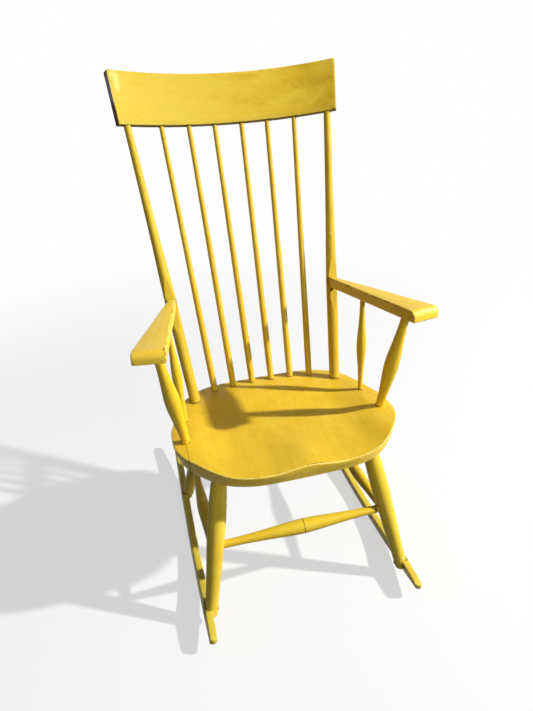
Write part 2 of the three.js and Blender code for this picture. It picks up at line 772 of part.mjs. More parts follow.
function aboveCrestFoot() {
  const reach = crestHalfWidth + crestApex + crestHeight;
  const low = new THREE.Vector3(-reach, -reach, crestFoot - clearance);
  const high = new THREE.Vector3(reach, reach, crestFoot + crestHeight);
  return solidOf(boxBetween(low, high).applyMatrix4(leanMatrix));
}

const stileBody = turnedSolid(stile).subtract(solidOf(stileFlatCutter())).subtract(aboveCrestFoot());
const stileSolid = cutFor(stileBody.add(turnedSolid(stileTenon)), [armScrew, pin]);

const armBoard = solidOf(armSideGeometry().applyMatrix4(armMatrix));
const armPlan = solidOf(armPlanGeometry().applyMatrix4(armMatrix));
const armSolid = cutFor(
  armBoard.intersect(armPlan).subtract(solidOf(behindFlat())),
  [armPost, shortSpindle, armScrew],
);

const rockerSolid = cutFor(
  solidOf(rockerGeometry(-rockerHalf, rockerHalf, 0, 0)).intersect(solidOf(rockerPlanGeometry())),
  [frontScrew, rearScrew],
);
const overRocker = solidOf(
  rockerGeometry(-rockerHalf - clearance, rockerHalf + overrun, clearance, overrun),
);

function legSolid(leg, cross, screw) {
  return cutFor(turnedSolid(leg).subtract(overRocker), [cross, sideStretcher, screw]);
}

// The chair, on the bench

const bench = new THREE.Group();

function addPair(name, geometry, material) {
  bench.add(meshOf(`right_${name}`, geometry, material));
  bench.add(meshOf(`left_${name}`, mirrored(geometry), material));
}

function addTurnedPair(name, piece, material) {
  bench.add(turnedMesh(`right_${name}`, piece, material));
  bench.add(turnedMesh(`left_${name}`, mirrorPiece(piece), material));
}

bench.add(meshOf('seat_main_board', geometryOf(wholeSeat.subtract(leftOfSeam(clearance / 2))), paint));
bench.add(meshOf('seat_edge_board', geometryOf(wholeSeat.intersect(leftOfSeam(-clearance / 2))), paint));
bench.add(meshOf('crest', geometryOf(crestSolid), paint));
addPair('stile', geometryOf(stileSolid), paint);
spindles.forEach((spindle, place) => addTurnedPair(`spindle_${place + 1}`, spindle, paint));
addPair('arm', geometryOf(armSolid), paint);
addTurnedPair('arm_post', armPost, paint);
addTurnedPair('arm_spindle', shortSpindle, paint);
addPair('front_leg', geometryOf(legSolid(frontLeg, frontStretcher, frontScrew)), paint);
addPair('rear_leg', geometryOf(legSolid(rearLeg, rearStretcher, rearScrew)), paint);
bench.add(turnedMesh('front_stretcher', frontStretcher, paint));
bench.add(turnedMesh('rear_stretcher', rearStretcher, paint));
addTurnedPair('side_stretcher', sideStretcher, paint);
addPair('rocker', geometryOf(rockerSolid), paint);
addTurnedPair('front_rocker_screw', frontScrew, paintedSteel);
addTurnedPair('rear_rocker_screw', rearScrew, paintedSteel);
addTurnedPair('arm_screw', armScrew, paintedSteel);
addTurnedPair('crest_pin', pin, bareWood);

// Leaning back until the middle flats of the rockers lie level, and raised to stand on z = 0

bench.rotation.x = -restTilt;
bench.position.z = rockerRadius * Math.cos(facetAngle / 2)
  + rockerLow * Math.sin(restTilt) - rockerCentreHeight * Math.cos(restTilt);
bench.updateMatrixWorld(true);
const extent = new THREE.Box3().setFromObject(bench, true);
bench.position.y = -(extent.min.y + extent.max.y) / 2;

const chair = new THREE.Group();
chair.add(bench);

export default chair;
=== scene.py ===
from contextlib import contextmanager
from math import asin, atan2, cos, hypot, pi, radians, sin, sqrt
import re

import bmesh
import bpy
from mathutils import Matrix, Vector


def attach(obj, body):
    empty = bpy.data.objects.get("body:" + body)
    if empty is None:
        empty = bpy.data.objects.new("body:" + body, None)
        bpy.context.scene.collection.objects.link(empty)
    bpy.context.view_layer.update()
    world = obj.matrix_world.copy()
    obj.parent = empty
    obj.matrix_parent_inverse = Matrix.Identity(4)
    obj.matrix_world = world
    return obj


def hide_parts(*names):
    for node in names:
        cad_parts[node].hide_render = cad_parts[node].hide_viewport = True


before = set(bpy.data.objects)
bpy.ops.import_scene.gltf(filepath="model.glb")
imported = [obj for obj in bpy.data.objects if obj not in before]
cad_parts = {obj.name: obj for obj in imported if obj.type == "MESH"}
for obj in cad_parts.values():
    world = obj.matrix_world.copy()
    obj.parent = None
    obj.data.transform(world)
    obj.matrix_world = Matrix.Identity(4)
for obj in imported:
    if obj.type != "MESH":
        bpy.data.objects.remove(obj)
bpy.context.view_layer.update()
print("frame loaded:", len(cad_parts), "nodes")

# A painted rod-back rocking chair, in metres. Left and right are as seen from the front, right is +X.
# The pieces are laid out on a bench, where the seat's rim lies level at z = 0, and then lean back with it.

bench = {
    "lean": radians(4.7),
    "jointGap": 0.0003,
    "sharpDegrees": 40,         # a piece's edges look sharp past this angle, unless it has its own
    "cutTolerance": 1e-6,
}
sides = (("right", 1), ("left", -1))
still = Matrix.Identity(4)
forwards = Vector((0, -1, 0))
upwards = Vector((0, 0, 1))


def onSide(point, sign):
    return Vector((point.x * sign, point.y, point.z))


# Curves

# Angles from nothing to a right angle.
def quarterTurn(steps):
    return [pi / 2 * k / steps for k in range(steps + 1)]


def ramp(value, low, high):
    t = min(1, max(0, (value - low) / (high - low)))
    return t * t * (3 - 2 * t)


# How far a round of this radius has drawn in at a distance from the end.
def roundedOff(distance, radius):
    past = min(radius, max(0, radius - distance))
    return radius - sqrt(radius * radius - past * past)


# A smooth curve through (place, value) pairs.
def smoothAt(pairs, place):
    if place <= pairs[0][0]:
        return pairs[0][1]
    if place >= pairs[-1][0]:
        return pairs[-1][1]
    widths = [x1 - x0 for (x0, y0), (x1, y1) in zip(pairs, pairs[1:])]
    slopes = [(y1 - y0) / (x1 - x0) for (x0, y0), (x1, y1) in zip(pairs, pairs[1:])]

    def slopeAt(k):
        if k in (0, len(widths)):
            return slopes[0 if k == 0 else -1]
        return (slopes[k - 1] * widths[k] + slopes[k] * widths[k - 1]) / (widths[k - 1] + widths[k])

    i = max(k for k in range(len(widths)) if pairs[k][0] <= place)
    h = widths[i]
    t = (place - pairs[i][0]) / h
    return (
        pairs[i][1] * (1 + 2 * t) * (1 - t) ** 2 + slopeAt(i) * h * t * (1 - t) ** 2
        + pairs[i + 1][1] * t * t * (3 - 2 * t) + slopeAt(i + 1) * h * t * t * (t - 1)
    )


# Points spaced evenly along a closed centripetal curve.
def closedCurve(points, steps, fine=24):
    blends = (((0, 1), (1, 2), (2, 3)), ((0, 2), (1, 3)), ((1, 2),))
    dense = []
    for i in range(len(points)):
        near = [points[(i + k) % len(points)] for k in (-1, 0, 1, 2)]
        times = [0.0]
        for a, b in zip(near, near[1:]):
            times.append(times[-1] + (b - a).length ** 0.5)
        for k in range(fine):
            t = times[1] + (times[2] - times[1]) * k / fine
            level = near
            for spans in blends:
                level = [
                    a.lerp(b, (t - times[j]) / (times[m] - times[j]))
                    for a, b, (j, m) in zip(level, level[1:], spans)
                ]
            dense.append(level[0])
    lengths = [0.0]
    for a, b in zip(dense, dense[1:] + dense[:1]):
        lengths.append(lengths[-1] + (b - a).length)
    made = []
    at = 0
    for step in range(steps):
        wanted = lengths[-1] * step / steps
        while lengths[at + 1] < wanted:
            at += 1
        t = (wanted - lengths[at]) / (lengths[at + 1] - lengths[at])
        made.append(dense[at].lerp(dense[(at + 1) % len(dense)], t))
    return made


# A rounded rectangle as (across, up) points, with extra points up its sides.
def roundedSection(width, height, corner, cornerSteps, sideSteps, shrink=0.0, leastCorner=0.05):
    corner = max(corner - shrink, corner * leastCorner)
    low, wide = shrink + corner, width - shrink - corner
    bottom, top = low, height - shrink - corner
    rise = [bottom + (top - bottom) * k / sideSteps for k in range(1, sideSteps)]
    points = []
    for x, y, start, side in (
        (wide, bottom, -pi / 2, [(wide + corner, up) for up in rise]),
        (wide, top, 0, []),
        (low, top, pi / 2, [(low - corner, up) for up in reversed(rise)]),
        (low, bottom, pi, []),
    ):
        angles = [start + a for a in quarterTurn(cornerSteps)]
        points += [(x + corner * cos(a), y + corner * sin(a)) for a in angles] + side
    return points


# A frame from where it stands and its three axes.
def frameAt(origin, xAxis, yAxis, zAxis):
    matrix = Matrix((xAxis, yAxis, zAxis)).transposed().to_4x4()
    matrix.translation = origin
    return matrix


# A frame whose z runs from start to end and whose x points as nearly as it can the given way.
def alongFrame(start, end, facing):
    zAxis = (end - start).normalized()
    yAxis = zAxis.cross(facing).normalized()
    return frameAt(start, yAxis.cross(zAxis), yAxis, zAxis)


# Meshes

@contextmanager
def edited(mesh):
    work = bmesh.new()
    work.from_mesh(mesh)
    yield work
    work.to_mesh(mesh)
    work.free()


def linkObject(name, data, place):
    made = bpy.data.objects.new(name, data)
    bpy.context.scene.collection.objects.link(made)
    made.matrix_world = place
    return made


# Rings of points joined into a closed skin. Each end closes with one face, or with a fan to a middle point.
def skin(name, rings, place, middles=()):
    count = len(rings[0])
    last = (len(rings) - 1) * count
    points = [p for ring in rings for p in ring] + list(middles)
    around = [(k, (k + 1) % count) for k in range(count)]
    faces = [
        (start + k, start + n, start + count + n, start + count + k)
        for start in range(0, last, count) for k, n in around
    ]
    if middles:
        for start, middle in ((0, len(points) - 2), (last, len(points) - 1)):
            faces += [(start + k, start + n, middle) for k, n in around]
    else:
        faces += [tuple(reversed(range(count))), tuple(range(last, last + count))]
    mesh = bpy.data.meshes.new(name)
    mesh.from_pydata(points, [], faces)
    with edited(mesh) as work:
        bmesh.ops.recalc_face_normals(work, faces=work.faces)
    return linkObject(name, mesh, place)


# Cuts a piece with another solid, which is then gone.
def carve(piece, cutter):
    cut = piece.modifiers.new("cut", "BOOLEAN")
    cut.object = cutter
    cut.solver = "EXACT"
    bpy.context.view_layer.update()
    seen = piece.evaluated_get(bpy.context.evaluated_depsgraph_get())
    made = bpy.data.meshes.new_from_object(seen)
    spare = (piece.data, cutter.data)
    piece.modifiers.clear()
    piece.data = made
    bpy.data.objects.remove(cutter)
    for mesh in spare:
        bpy.data.meshes.remove(mesh)


# Cuts a piece flat with a plane in the piece's own frame, and keeps what lies behind the plane.
def trim(piece, point, normal):
    with edited(piece.data) as work:
        found = bmesh.ops.bisect_plane(
            work, geom=work.verts[:] + work.edges[:] + work.faces[:], dist=bench["cutTolerance"],
            plane_co=point, plane_no=normal, clear_outer=True,
        )
        rim = [part for part in found["geom_cut"] if isinstance(part, bmesh.types.BMEdge)]
        bmesh.ops.edgeloop_fill(work, edges=rim)
        bmesh.ops.recalc_face_normals(work, faces=work.faces)


# Puts a mesh in the bench's frame, on the right as drawn or mirrored to the left.
def toBench(piece, matrix, sign):
    piece.data.transform(matrix)
    if sign < 0:
        piece.data.transform(Matrix.Diagonal((-1, 1, 1, 1)))
        piece.data.flip_normals()
    piece.matrix_world = onBench


# A piece is named as the CAD node that it replaces is, but in camel case.
def nodeOf(name):
    return "crest" if name == "crestBoard" else re.sub("([A-Z0-9])", r"_\1", name).lower()


# Rounds the look of a piece, but for edges sharper than the angle, and puts it in its CAD node's place.
def standIn(piece, degrees=bench["sharpDegrees"]):
    limit = radians(degrees)
    with edited(piece.data) as work:
        for face in work.faces:
            face.smooth = True
        for edge in work.edges:
            edge.smooth = len(edge.link_faces) != 2 or edge.calc_face_angle(0) < limit
    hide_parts(nodeOf(piece.name))


# What the paint needs to know of a point of a piece: where it lies along, across and through the grain, and
# how far it is from a sharp edge, a joint and a worn place. What isn't given is far away. The grain is moved
# on for each piece, so that no two look alike, and the order in which pieces are dressed sets their looks.
finishOf = {}
grainShift = {}
grainStep = Vector((0.37, 0.19, 0.53))


def farAway(co):
    return 1.0


def alongGrain(co):
    return co.z, co.x, co.y


def dress(piece, finish, grainAt, **measures):
    mesh = piece.data
    finishOf[piece.name] = finish
    grainShift[piece.name] = grainStep * len(finishOf)
    places = [Vector(grainAt(v.co)) + grainShift[piece.name] for v in mesh.vertices]
    grain = mesh.attributes.new("grain", "FLOAT_VECTOR", "POINT")
    grain.data.foreach_set("vector", [number for place in places for number in place])
    for name, valueAt in {"edge": farAway, "joint": farAway, "worn": farAway, **measures}.items():
        values = mesh.attributes.new(name, "FLOAT", "POINT")
        values.data.foreach_set("value", [valueAt(v.co) for v in mesh.vertices])


# Distance from the nearest edge of a box-like piece, from the distances to its three pairs of faces.
def edgeOf(*gaps):
    return sorted(max(0, gap) for gap in gaps)[1]


# Turned pieces

turning = {
    "segments": 48,
    "step": 0.004,
    "ringSharpness": 2.4,       # the dark line in a scribed ring is this much narrower than at a joint
}


# Rows of (place along, radius), which may run on past both ends into sockets.
def turnedRows(shares, length, radius, before=0, after=0):
    count = round(length / turning["step"])
    rows = [(length * i / count, radius * smoothAt(shares, i / count)) for i in range(count + 1)]
    if before:
        rows.insert(0, (-before, rows[0][1]))
    if after:
        rows.append((length + after, rows[-1][1]))
    return rows


# A turned piece from start to end, places on the right, put on the side that the sign says.
def turned(name, sign, start, end, rows, facing=forwards, segments=turning["segments"]):
    angles = [2 * pi * k / segments for k in range(segments)]
    rings = [[(radius * cos(a), radius * sin(a), along) for a in angles] for along, radius in rows]
    return skin(name, rings, onBench @ alongFrame(onSide(start, sign), onSide(end, sign), facing))


# A plain turned piece. Its joints are at its ends, and a scribed ring counts as one.
def makeRod(name, finish, sign, start, end, rows, ring=None, degrees=bench["sharpDegrees"], **shape):
    piece = turned(name, sign, start, end, rows, **shape)
    length = (end - start).length

    def jointAt(co):
        near = max(0, min(co.z, length - co.z))
        return near if ring is None else min(near, abs(co.z - ring) * turning["ringSharpness"])

    dress(piece, finish, alongGrain, joint=jointAt)
    standIn(piece, degrees)


# The seat: a saddled plank of two boards, its rim sampled from a smooth outline

seat = {
    "halfWidth": 0.257,
    "front": 0.273,
    "back": 0.1545,
    "thickness": 0.0385,
    "arris": 0.0026,
    "underRound": 0.006,
    "underInset": 0.0085,
    "edgeBulge": 0.0008,
    "scoopDepth": 0.012,
    "scoopSideShares": (0.5, 0.86),
    "scoopBackShares": (0.5, 0.84),
    "scoopFrontShare": 0.8,
    "scoopFrontReachShare": 0.3,
    "pommelShare": 0.85,
    "pommelSideShare": 0.3,
    "pommelBackShare": 0.42,
    "seamShare": 0.895,
    "steps": 288,
    "rings": 30,
    "ringPower": 0.8,           # under 1, the rings lie closer towards the rim
    "arrisSteps": 5,
    "sideSteps": 6,
    "underSteps": 6,
    "edgeInsetShare": 0.3,
    # painted light: the seat's edge face and underside are painted paler and warmer than its top
    "sidePaintedLight": 0.8,
    "sidePaintedLightDepths": (0.001, 0.005),
    "dirtDepthShare": 0.7,
}
outlineShares = [
    (0, -1), (0.2, -0.998), (0.38, -0.989), (0.5, -0.966), (0.65, -0.906), (0.772, -0.808),
    (0.88, -0.682), (0.953, -0.565), (0.992, -0.45), (1, -0.33), (0.994, -0.18), (0.956, -0.03),
    (0.893, 0.3), (0.812, 0.6), (0.684, 0.82), (0.535, 0.94), (0.36, 0.985), (0.18, 0.998), (0, 1),
]


# Where the bench stands in the frame, from the CAD seat.
def benchFromSeat():
    upright = Matrix.Rotation(bench["lean"], 4, "X")
    points = [upright @ v.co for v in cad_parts["seat_main_board"].data.vertices]
    foremost = min(p.y for p in points)
    lowest = min(p.z for p in points)
    shift = Matrix.Translation((0, foremost + seat["front"], lowest + seat["thickness"]))
    return Matrix.Rotation(-bench["lean"], 4, "X") @ shift


def onSeat(shareX, shareY, height=0.0):
    depth = seat["front"] if shareY < 0 else seat["back"]
    return Vector((shareX * seat["halfWidth"], shareY * depth, height))


def scoopAt(x, y):
    across = abs(x) / seat["halfWidth"]
    along = (y + seat["front"]) / (seat["front"] + seat["back"])
    side = 1 - ramp(across, *seat["scoopSideShares"])
    back = 1 - ramp(along, *seat["scoopBackShares"])
    low = seat["scoopFrontShare"]
    front = low + (1 - low) * ramp(along, 0, seat["scoopFrontReachShare"])
    pommel = (1 - ramp(across, 0, seat["pommelSideShare"])) * (1 - ramp(along, 0, seat["pommelBackShare"]))
    return seat["scoopDepth"] * side * back * front * (1 - seat["pommelShare"] * pommel)


# The outline's points, each with the way inwards.
def seatOutline():
    half = [onSeat(*share) for share in outlineShares]
    points = closedCurve(half + [onSide(p, -1) for p in reversed(half[1:-1])], seat["steps"])
    chords = [after - before for before, after in zip(points[-1:] + points[:-1], points[1:] + points[:1])]
    return [(p, Vector((-chord.y, chord.x, 0)).normalized()) for p, chord in zip(points, chords)]


# Rows down the seat's edge: how far in from the outline, the share of the way from the top to the underside,
# and how far below the one and above the other.
def seatEdgeRows():
    arris, under, inset = seat["arris"], seat["underRound"], seat["underInset"]
    rows = []
    for a in quarterTurn(seat["arrisSteps"])[1:]:
        rows.append((arris * (1 - sin(a)), 0, arris * (1 - cos(a)), 0))
    for k in range(1, seat["sideSteps"]):
        share = k / seat["sideSteps"]
        rows.append((inset * share - seat["edgeBulge"] * sin(pi * share), share, arris, under))
    for a in quarterTurn(seat["underSteps"]):
        rows.append((inset + under * (1 - cos(a)), 1, 0, under * (1 - sin(a))))
    return rows


def makeSeat(feet):
    outline = seatOutline()
    centre = Vector((0, (seat["back"] - seat["front"]) / 2, 0))
    rings = []
    for k in range(1, seat["rings"] + 1):
        share = (k / seat["rings"]) ** seat["ringPower"]
        places = [centre.lerp(point + inwards * seat["arris"], share) for point, inwards in outline]
        rings.append([(p.x, p.y, -scoopAt(p.x, p.y)) for p in places])
    for inset, share, fromTop, fromBottom in seatEdgeRows():
        ring = []
        for point, inwards in outline:
            p = point + inwards * inset
            top, bottom = scoopAt(point.x, point.y) + fromTop, seat["thickness"] - fromBottom
            ring.append((p.x, p.y, -(top + (bottom - top) * share)))
        rings.append(ring)
    middles = [(centre.x, centre.y, -scoopAt(centre.x, centre.y)), (centre.x, centre.y, -seat["thickness"])]
    seam = -seat["seamShare"] * seat["halfWidth"]

    def depthAt(co):
        return -scoopAt(co.x, co.y) - co.z

    def edgeAt(co):
        inwards = min((point.x - co.x) ** 2 + (point.y - co.y) ** 2 for point, way in outline) ** 0.5
        return max(0, max(inwards, depthAt(co)) - seat["arris"] * seat["edgeInsetShare"])

    def jointAt(co):
        if co.z < -seat["thickness"] * seat["dirtDepthShare"]:
            return 1.0
        return min(max(0, hypot(abs(co.x) - foot.x, co.y - foot.y) - wide) for foot, wide in feet)

    for name, keep in (("seatMainBoard", 1), ("seatEdgeBoard", -1)):
        piece = skin(name, rings, onBench, middles)
        trim(piece, (seam + keep * bench["jointGap"] / 2, 0, 0), (-keep, 0, 0))
        dress(
            piece, "seat", lambda co: (co.y, co.x, co.z), edge=edgeAt, joint=jointAt,
            worn=lambda co: abs(co.x - seam),
            # painted light down the edge face
            tint=lambda co: seat["sidePaintedLight"] * ramp(depthAt(co), *seat["sidePaintedLightDepths"]),
        )
        standIn(piece)


onBench = benchFromSeat()

# The crest: one board bent to an arc

crest = {
    "lean": radians(15.35),
    "apex": 0.108,
    "foot": 0.6815,
    "height": 0.1185,
    "thickness": 0.0182,
    "radius": 0.667,
    "halfWidth": 0.2596,
    "flareShare": 0.0342,
    "hollow": 0.0025,
    "edgeRound": 0.0018,
    "cornerRound": 0.004,
    "roundSteps": 4,
    "steps": 120,
    "rows": 14,
    "upperEase": 0.0007,        # this much less of the edges is worn above the lower one
    "upperEaseHeights": (0.004, 0.02),
    "socketRadius": 0.007,
    "socketHeight": 0.03,
    "endPaintedShade": 0.7,             # painted shade: darker and greener towards the left end, where the key falls most fully, and along the lower edge, which lies in shade
    "endPaintedShadeShare": 0.8,
    "lowerPaintedShade": 0.5,
    "lowerPaintedShadeHeight": 0.012,
}
crestLean = Matrix.Rotation(-crest["lean"], 4, "X")
crestCentre = crest["apex"] - crest["radius"]


def onCrest(x, height):
    radius = crest["radius"] + crest["thickness"] / 2
    return crestLean @ Vector((x, crestCentre + sqrt(radius * radius - x * x), height))


def makeCrest():
    bend, tall, thick, flare = (crest[name] for name in ("radius", "height", "thickness", "flareShare"))
    turn = asin(crest["halfWidth"] / bend)
    reach = turn * bend
    edge, steps = crest["edgeRound"], crest["roundSteps"]
    ends = [
        (turn - edge * (1 - cos(a)) / bend, edge * (1 - sin(a)))
        for a in quarterTurn(steps)
    ]
    inner = [(ends[-1][0] * (1 - 2 * i / crest["steps"]), 0.0) for i in range(1, crest["steps"])]
    rings = []
    for angle, shrink in ends + inner + [(-angle, shrink) for angle, shrink in reversed(ends)]:
        drop = roundedOff(reach - abs(angle) * bend, crest["cornerRound"])
        ring = []
        for depth, height in roundedSection(thick, tall - drop, edge, steps, crest["rows"], shrink):
            up = height / tall
            radius = bend + depth
            x = radius * sin(angle)
            across = min(1, abs(x) / crest["halfWidth"])
            hollow = crest["hollow"] * up * (1 - across * across)
            y = crestCentre + radius * cos(angle)
            ring.append((x * (1 + flare * up), y, crest["foot"] + height - hollow))
        rings.append(ring)
    piece = skin("crestBoard", rings, onBench @ crestLean)
    heads = [crest["halfWidth"] * share for share in spindle["headShares"] + (stile["headShare"],)]

    def grainAt(co):
        up = co.z - crest["foot"]
        x = co.x / (1 + flare * up / tall)
        along = bend * atan2(x, co.y - crestCentre)
        return along, up, hypot(x, co.y - crestCentre) - bend

    def endAt(co):
        return reach - abs(grainAt(co)[0])

    def edgeAt(co):
        along, up, depth = grainAt(co)
        near = edgeOf(endAt(co), min(up, tall - up), min(depth, thick - depth))
        return near + crest["upperEase"] * ramp(up, *crest["upperEaseHeights"])

    def jointAt(co):
        along, up, depth = grainAt(co)
        if up > crest["socketHeight"]:
            return 1.0
        gaps = [max(0, abs(abs(along) - head) - crest["socketRadius"]) for head in heads]
        return hypot(min(gaps), max(0, up))

    # Painted shade, towards the left end and along the lower edge.
    def paintedShadeAt(co):
        along, up, depth = grainAt(co)
        share = 0.5 - along / (2 * reach)
        low = 1 - ramp(up, 0.0, crest["lowerPaintedShadeHeight"])
        return crest["endPaintedShade"] * ramp(share, 0.0, crest["endPaintedShadeShare"]) + crest["lowerPaintedShade"] * low

    dress(piece, "crest", grainAt, edge=edgeAt, joint=jointAt, worn=endAt, tint=paintedShadeAt)
    standIn(piece)


# The back: two stiles with flats at the arms, and six spindles

stile = {
    "radius": 0.014,
    "footShare": (0.7144, 0.4916),
    "headShare": 0.931,
    "footDepth": 0.015,
    "headDepth": 0.03,
    "shoulderDepth": 0.003,
    "tenonRadius": 0.0055,
    "pinHeight": 0.02,
    "flat": 0.009,
    "flatRunUp": 0.062,
    "flatDirtGap": 0.0012,
    "segments": 64,
    "sharpDegrees": 14,
}
stileShares = [
    (0, 0.91), (0.1, 0.94), (0.28, 0.98), (0.37, 1), (0.46, 0.94), (0.6, 0.79), (0.8, 0.66), (1, 0.59),
]
spindle = {
    "radius": 0.0082,
    "footDepth": 0.015,
    "headDepth": 0.026,
    "footShares": ((0.1, 0.8386), (0.299, 0.82), (0.495, 0.7594)),
    "headShares": (0.129, 0.3734, 0.629),
    "segments": 32,
}
spindleShares = [(0, 0.96), (0.05, 1), (0.25, 0.96), (0.55, 0.85), (0.8, 0.75), (1, 0.7)]

stileStart = onSeat(*stile["footShare"])
stileEnd = onCrest(stile["headShare"] * crest["halfWidth"], crest["foot"])
stileWay = (stileEnd - stileStart).normalized()


def makeSpindles():
    for number, (footShare, headShare) in enumerate(zip(spindle["footShares"], spindle["headShares"]), 1):
        start = onSeat(*footShare)
        end = onCrest(headShare * crest["halfWidth"], crest["foot"])
        length, tenons = (end - start).length, (spindle["footDepth"], spindle["headDepth"])
        rows = turnedRows(spindleShares, length, spindle["radius"], *tenons)
        for side, sign in sides:
            makeRod(f"{side}Spindle{number}", "rod", sign, start, end, rows, segments=spindle["segments"])


# The arms: boards butted on the stiles' flats, in a frame of forwards, outwards and up

arm = {
    "thickness": 0.0244,
    "backHeight": 0.226,
    "postHeight": 0.2368,
    "backHalfWidth": 0.0083,
    "frontInner": 0.027,
    "frontOuter": 0.038,
    "overhang": 0.056,
    "behind": 0.014,            # drawn past the stile's flat and then cut off on it
    "noseRadius": 0.015,
    "noseCorner": 0.0042,
    "innerCorner": 0.003,
    "edgeRound": 0.0024,
    "roundSteps": 5,
    "noseSteps": 32,
    "sideSteps": 4,
    "steps": 60,
    "underside": 0.004,
    "postDirt": 0.009,
    "spindleDirt": 0.006,
}
armPost = {
    "radius": 0.0165,
    "footShare": (0.886, -0.38),
    "splay": 0.034,
    "rake": 0.049,
    "footDepth": 0.015,
    "headDepth": 0.013,
}
armPostShares = [
    (0, 0.575), (0.1, 0.61), (0.24, 0.76), (0.36, 0.92), (0.45, 1), (0.52, 0.99), (0.62, 0.87),
    (0.75, 0.7), (0.88, 0.58), (1, 0.53),
]
armSpindle = {
    "radius": 0.0115,
    "footShare": (0.85, -0.044),
    "reachShare": 0.47,
    "inset": 0.004,
}
armSpindleShares = [
    (0, 0.5), (0.15, 0.55), (0.3, 0.73), (0.42, 0.94), (0.5, 1), (0.58, 0.94), (0.7, 0.73), (0.85, 0.55),
    (1, 0.5),
]

postFoot = onSeat(*armPost["footShare"])
postHead = Vector((postFoot.x + armPost["splay"], postFoot.y - armPost["rake"], arm["postHeight"]))
stileAtArm = stileStart.lerp(stileEnd, (arm["backHeight"] - stileStart.z) / (stileEnd.z - stileStart.z))


# The flat on a stile faces straight forwards, and the arm leaves it at an angle.
def squareToStile(way):
    return (way - stileWay * way.dot(stileWay)).normalized()


flatNormal = squareToStile(forwards)
armScrewWay = squareToStile(postHead - stileAtArm)
armBack = stileAtArm + flatNormal * stile["flat"]
armForward = (postHead - armBack).normalized()
armOutward = Vector((-armForward.y, armForward.x, 0)).normalized()
armUp = armForward.cross(armOutward)
armReach = (postHead - armBack).length
armLength = armReach + arm["overhang"]
spindleFoot = onSeat(*armSpindle["footShare"])
spindleHead = armBack.lerp(postHead, armSpindle["reachShare"]) - armOutward * armSpindle["inset"]


# Half widths and thickness of an arm at a place along it, its front corners rounded in plan.
def armSection(u):
    share, left = min(1, max(0, u / armLength)), armLength - u
    back = arm["backHalfWidth"]
    inner = back + (arm["frontInner"] - back) * share - roundedOff(left, arm["innerCorner"])
    outer = back + (arm["frontOuter"] - back) * share - roundedOff(left, arm["noseCorner"])
    return inner, outer, arm["thickness"] - roundedOff(left, arm["noseRadius"])


def makeArm(side, sign):
    corner, nose = arm["edgeRound"], arm["noseRadius"]
    reach, steps = armLength - nose, arm["steps"]
    places = [reach * i / steps - arm["behind"] * (1 - i / steps) for i in range(steps)]
    places += [reach + nose * sin(a) for a in quarterTurn(arm["noseSteps"])]
    rings = []
    for u in places:
        inner, outer, top = armSection(u)
        drawn = roundedOff(armLength - u, corner)
        section = roundedSection(
            inner + outer - 2 * drawn, top - drawn, corner, arm["roundSteps"], arm["sideSteps"],
        )
        rings.append([(u, across - inner + drawn, up + drawn) for across, up in section])
    piece = skin(f"{side}Arm", rings, still)

    def edgeAt(co):
        inner, outer, top = armSection(co.x)
        front, across = armLength - co.x, min(co.y + inner, outer - co.y)
        rim = max(across, min(co.z, top - co.z, front))
        return max(0, min(rim, max(co.z, front)))

    def jointAt(co):
        near = max(0, co.x)
        if co.z < arm["underside"]:
            for along, wide in (
                (armReach, arm["postDirt"]), (armSpindle["reachShare"] * armReach, arm["spindleDirt"]),
            ):
                near = min(near, max(0, hypot(co.x - along, co.y) - wide))
        return near

    def innerTopAt(co):
        inner, outer, top = armSection(co.x)
        return max(0, co.y + inner, top - co.z)

    dress(piece, "arm", lambda co: co, edge=edgeAt, joint=jointAt, worn=innerTopAt)
    toBench(piece, frameAt(armBack, armForward, armOutward, armUp), sign)
    normal = onSide(flatNormal, sign)
    trim(piece, onSide(stileAtArm, sign) + normal * (stile["flat"] + bench["jointGap"]), -normal)
    standIn(piece)


def makeArmRods(side, sign):
    for name, start, end, shares, radius in (
        ("ArmPost", postFoot, postHead, armPostShares, armPost["radius"]),
        ("ArmSpindle", spindleFoot, spindleHead, armSpindleShares, armSpindle["radius"]),
    ):
        rows = turnedRows(shares, (end - start).length, radius, armPost["footDepth"], armPost["headDepth"])
        makeRod(side + name, "turned", sign, start, end, rows)


# In the stile's own frame z runs along it and x points the way its flat faces.
def makeStile(side, sign):
    length = (stileEnd - stileStart).length
    shoulder, tenon = length + stile["shoulderDepth"], stile["tenonRadius"]
    rows = turnedRows(stileShares, length, stile["radius"], stile["footDepth"])
    rows += [(shoulder, rows[-1][1]), (shoulder, tenon), (length + stile["headDepth"], tenon)]
    facing = onSide(flatNormal, sign)
    piece = turned(f"{side}Stile", sign, stileStart, stileEnd, rows, facing, stile["segments"])
    low = (stileAtArm - stileStart).length
    high = low + arm["thickness"]
    deep, wide, away = stile["flat"], stile["radius"], 2 * stile["radius"]
    first, last = low - stile["flatRunUp"], high + stile["flatRunUp"]
    outline = [(deep, low), (wide, first), (away, first), (away, last), (wide, last), (deep, high)]
    rings = [[(x, y, z) for x, z in outline] for y in (-away, away)]
    carve(piece, skin("cutter", rings, piece.matrix_world))

    def jointAt(co):
        near = max(0, min(co.z, length - co.z))
        if co.x > 0:
            near = min(near, stile["flatDirtGap"] + max(0, low - co.z, co.z - high))
        return near

    dress(piece, "rod", alongGrain, joint=jointAt)
    standIn(piece, stile["sharpDegrees"])


# The rockers

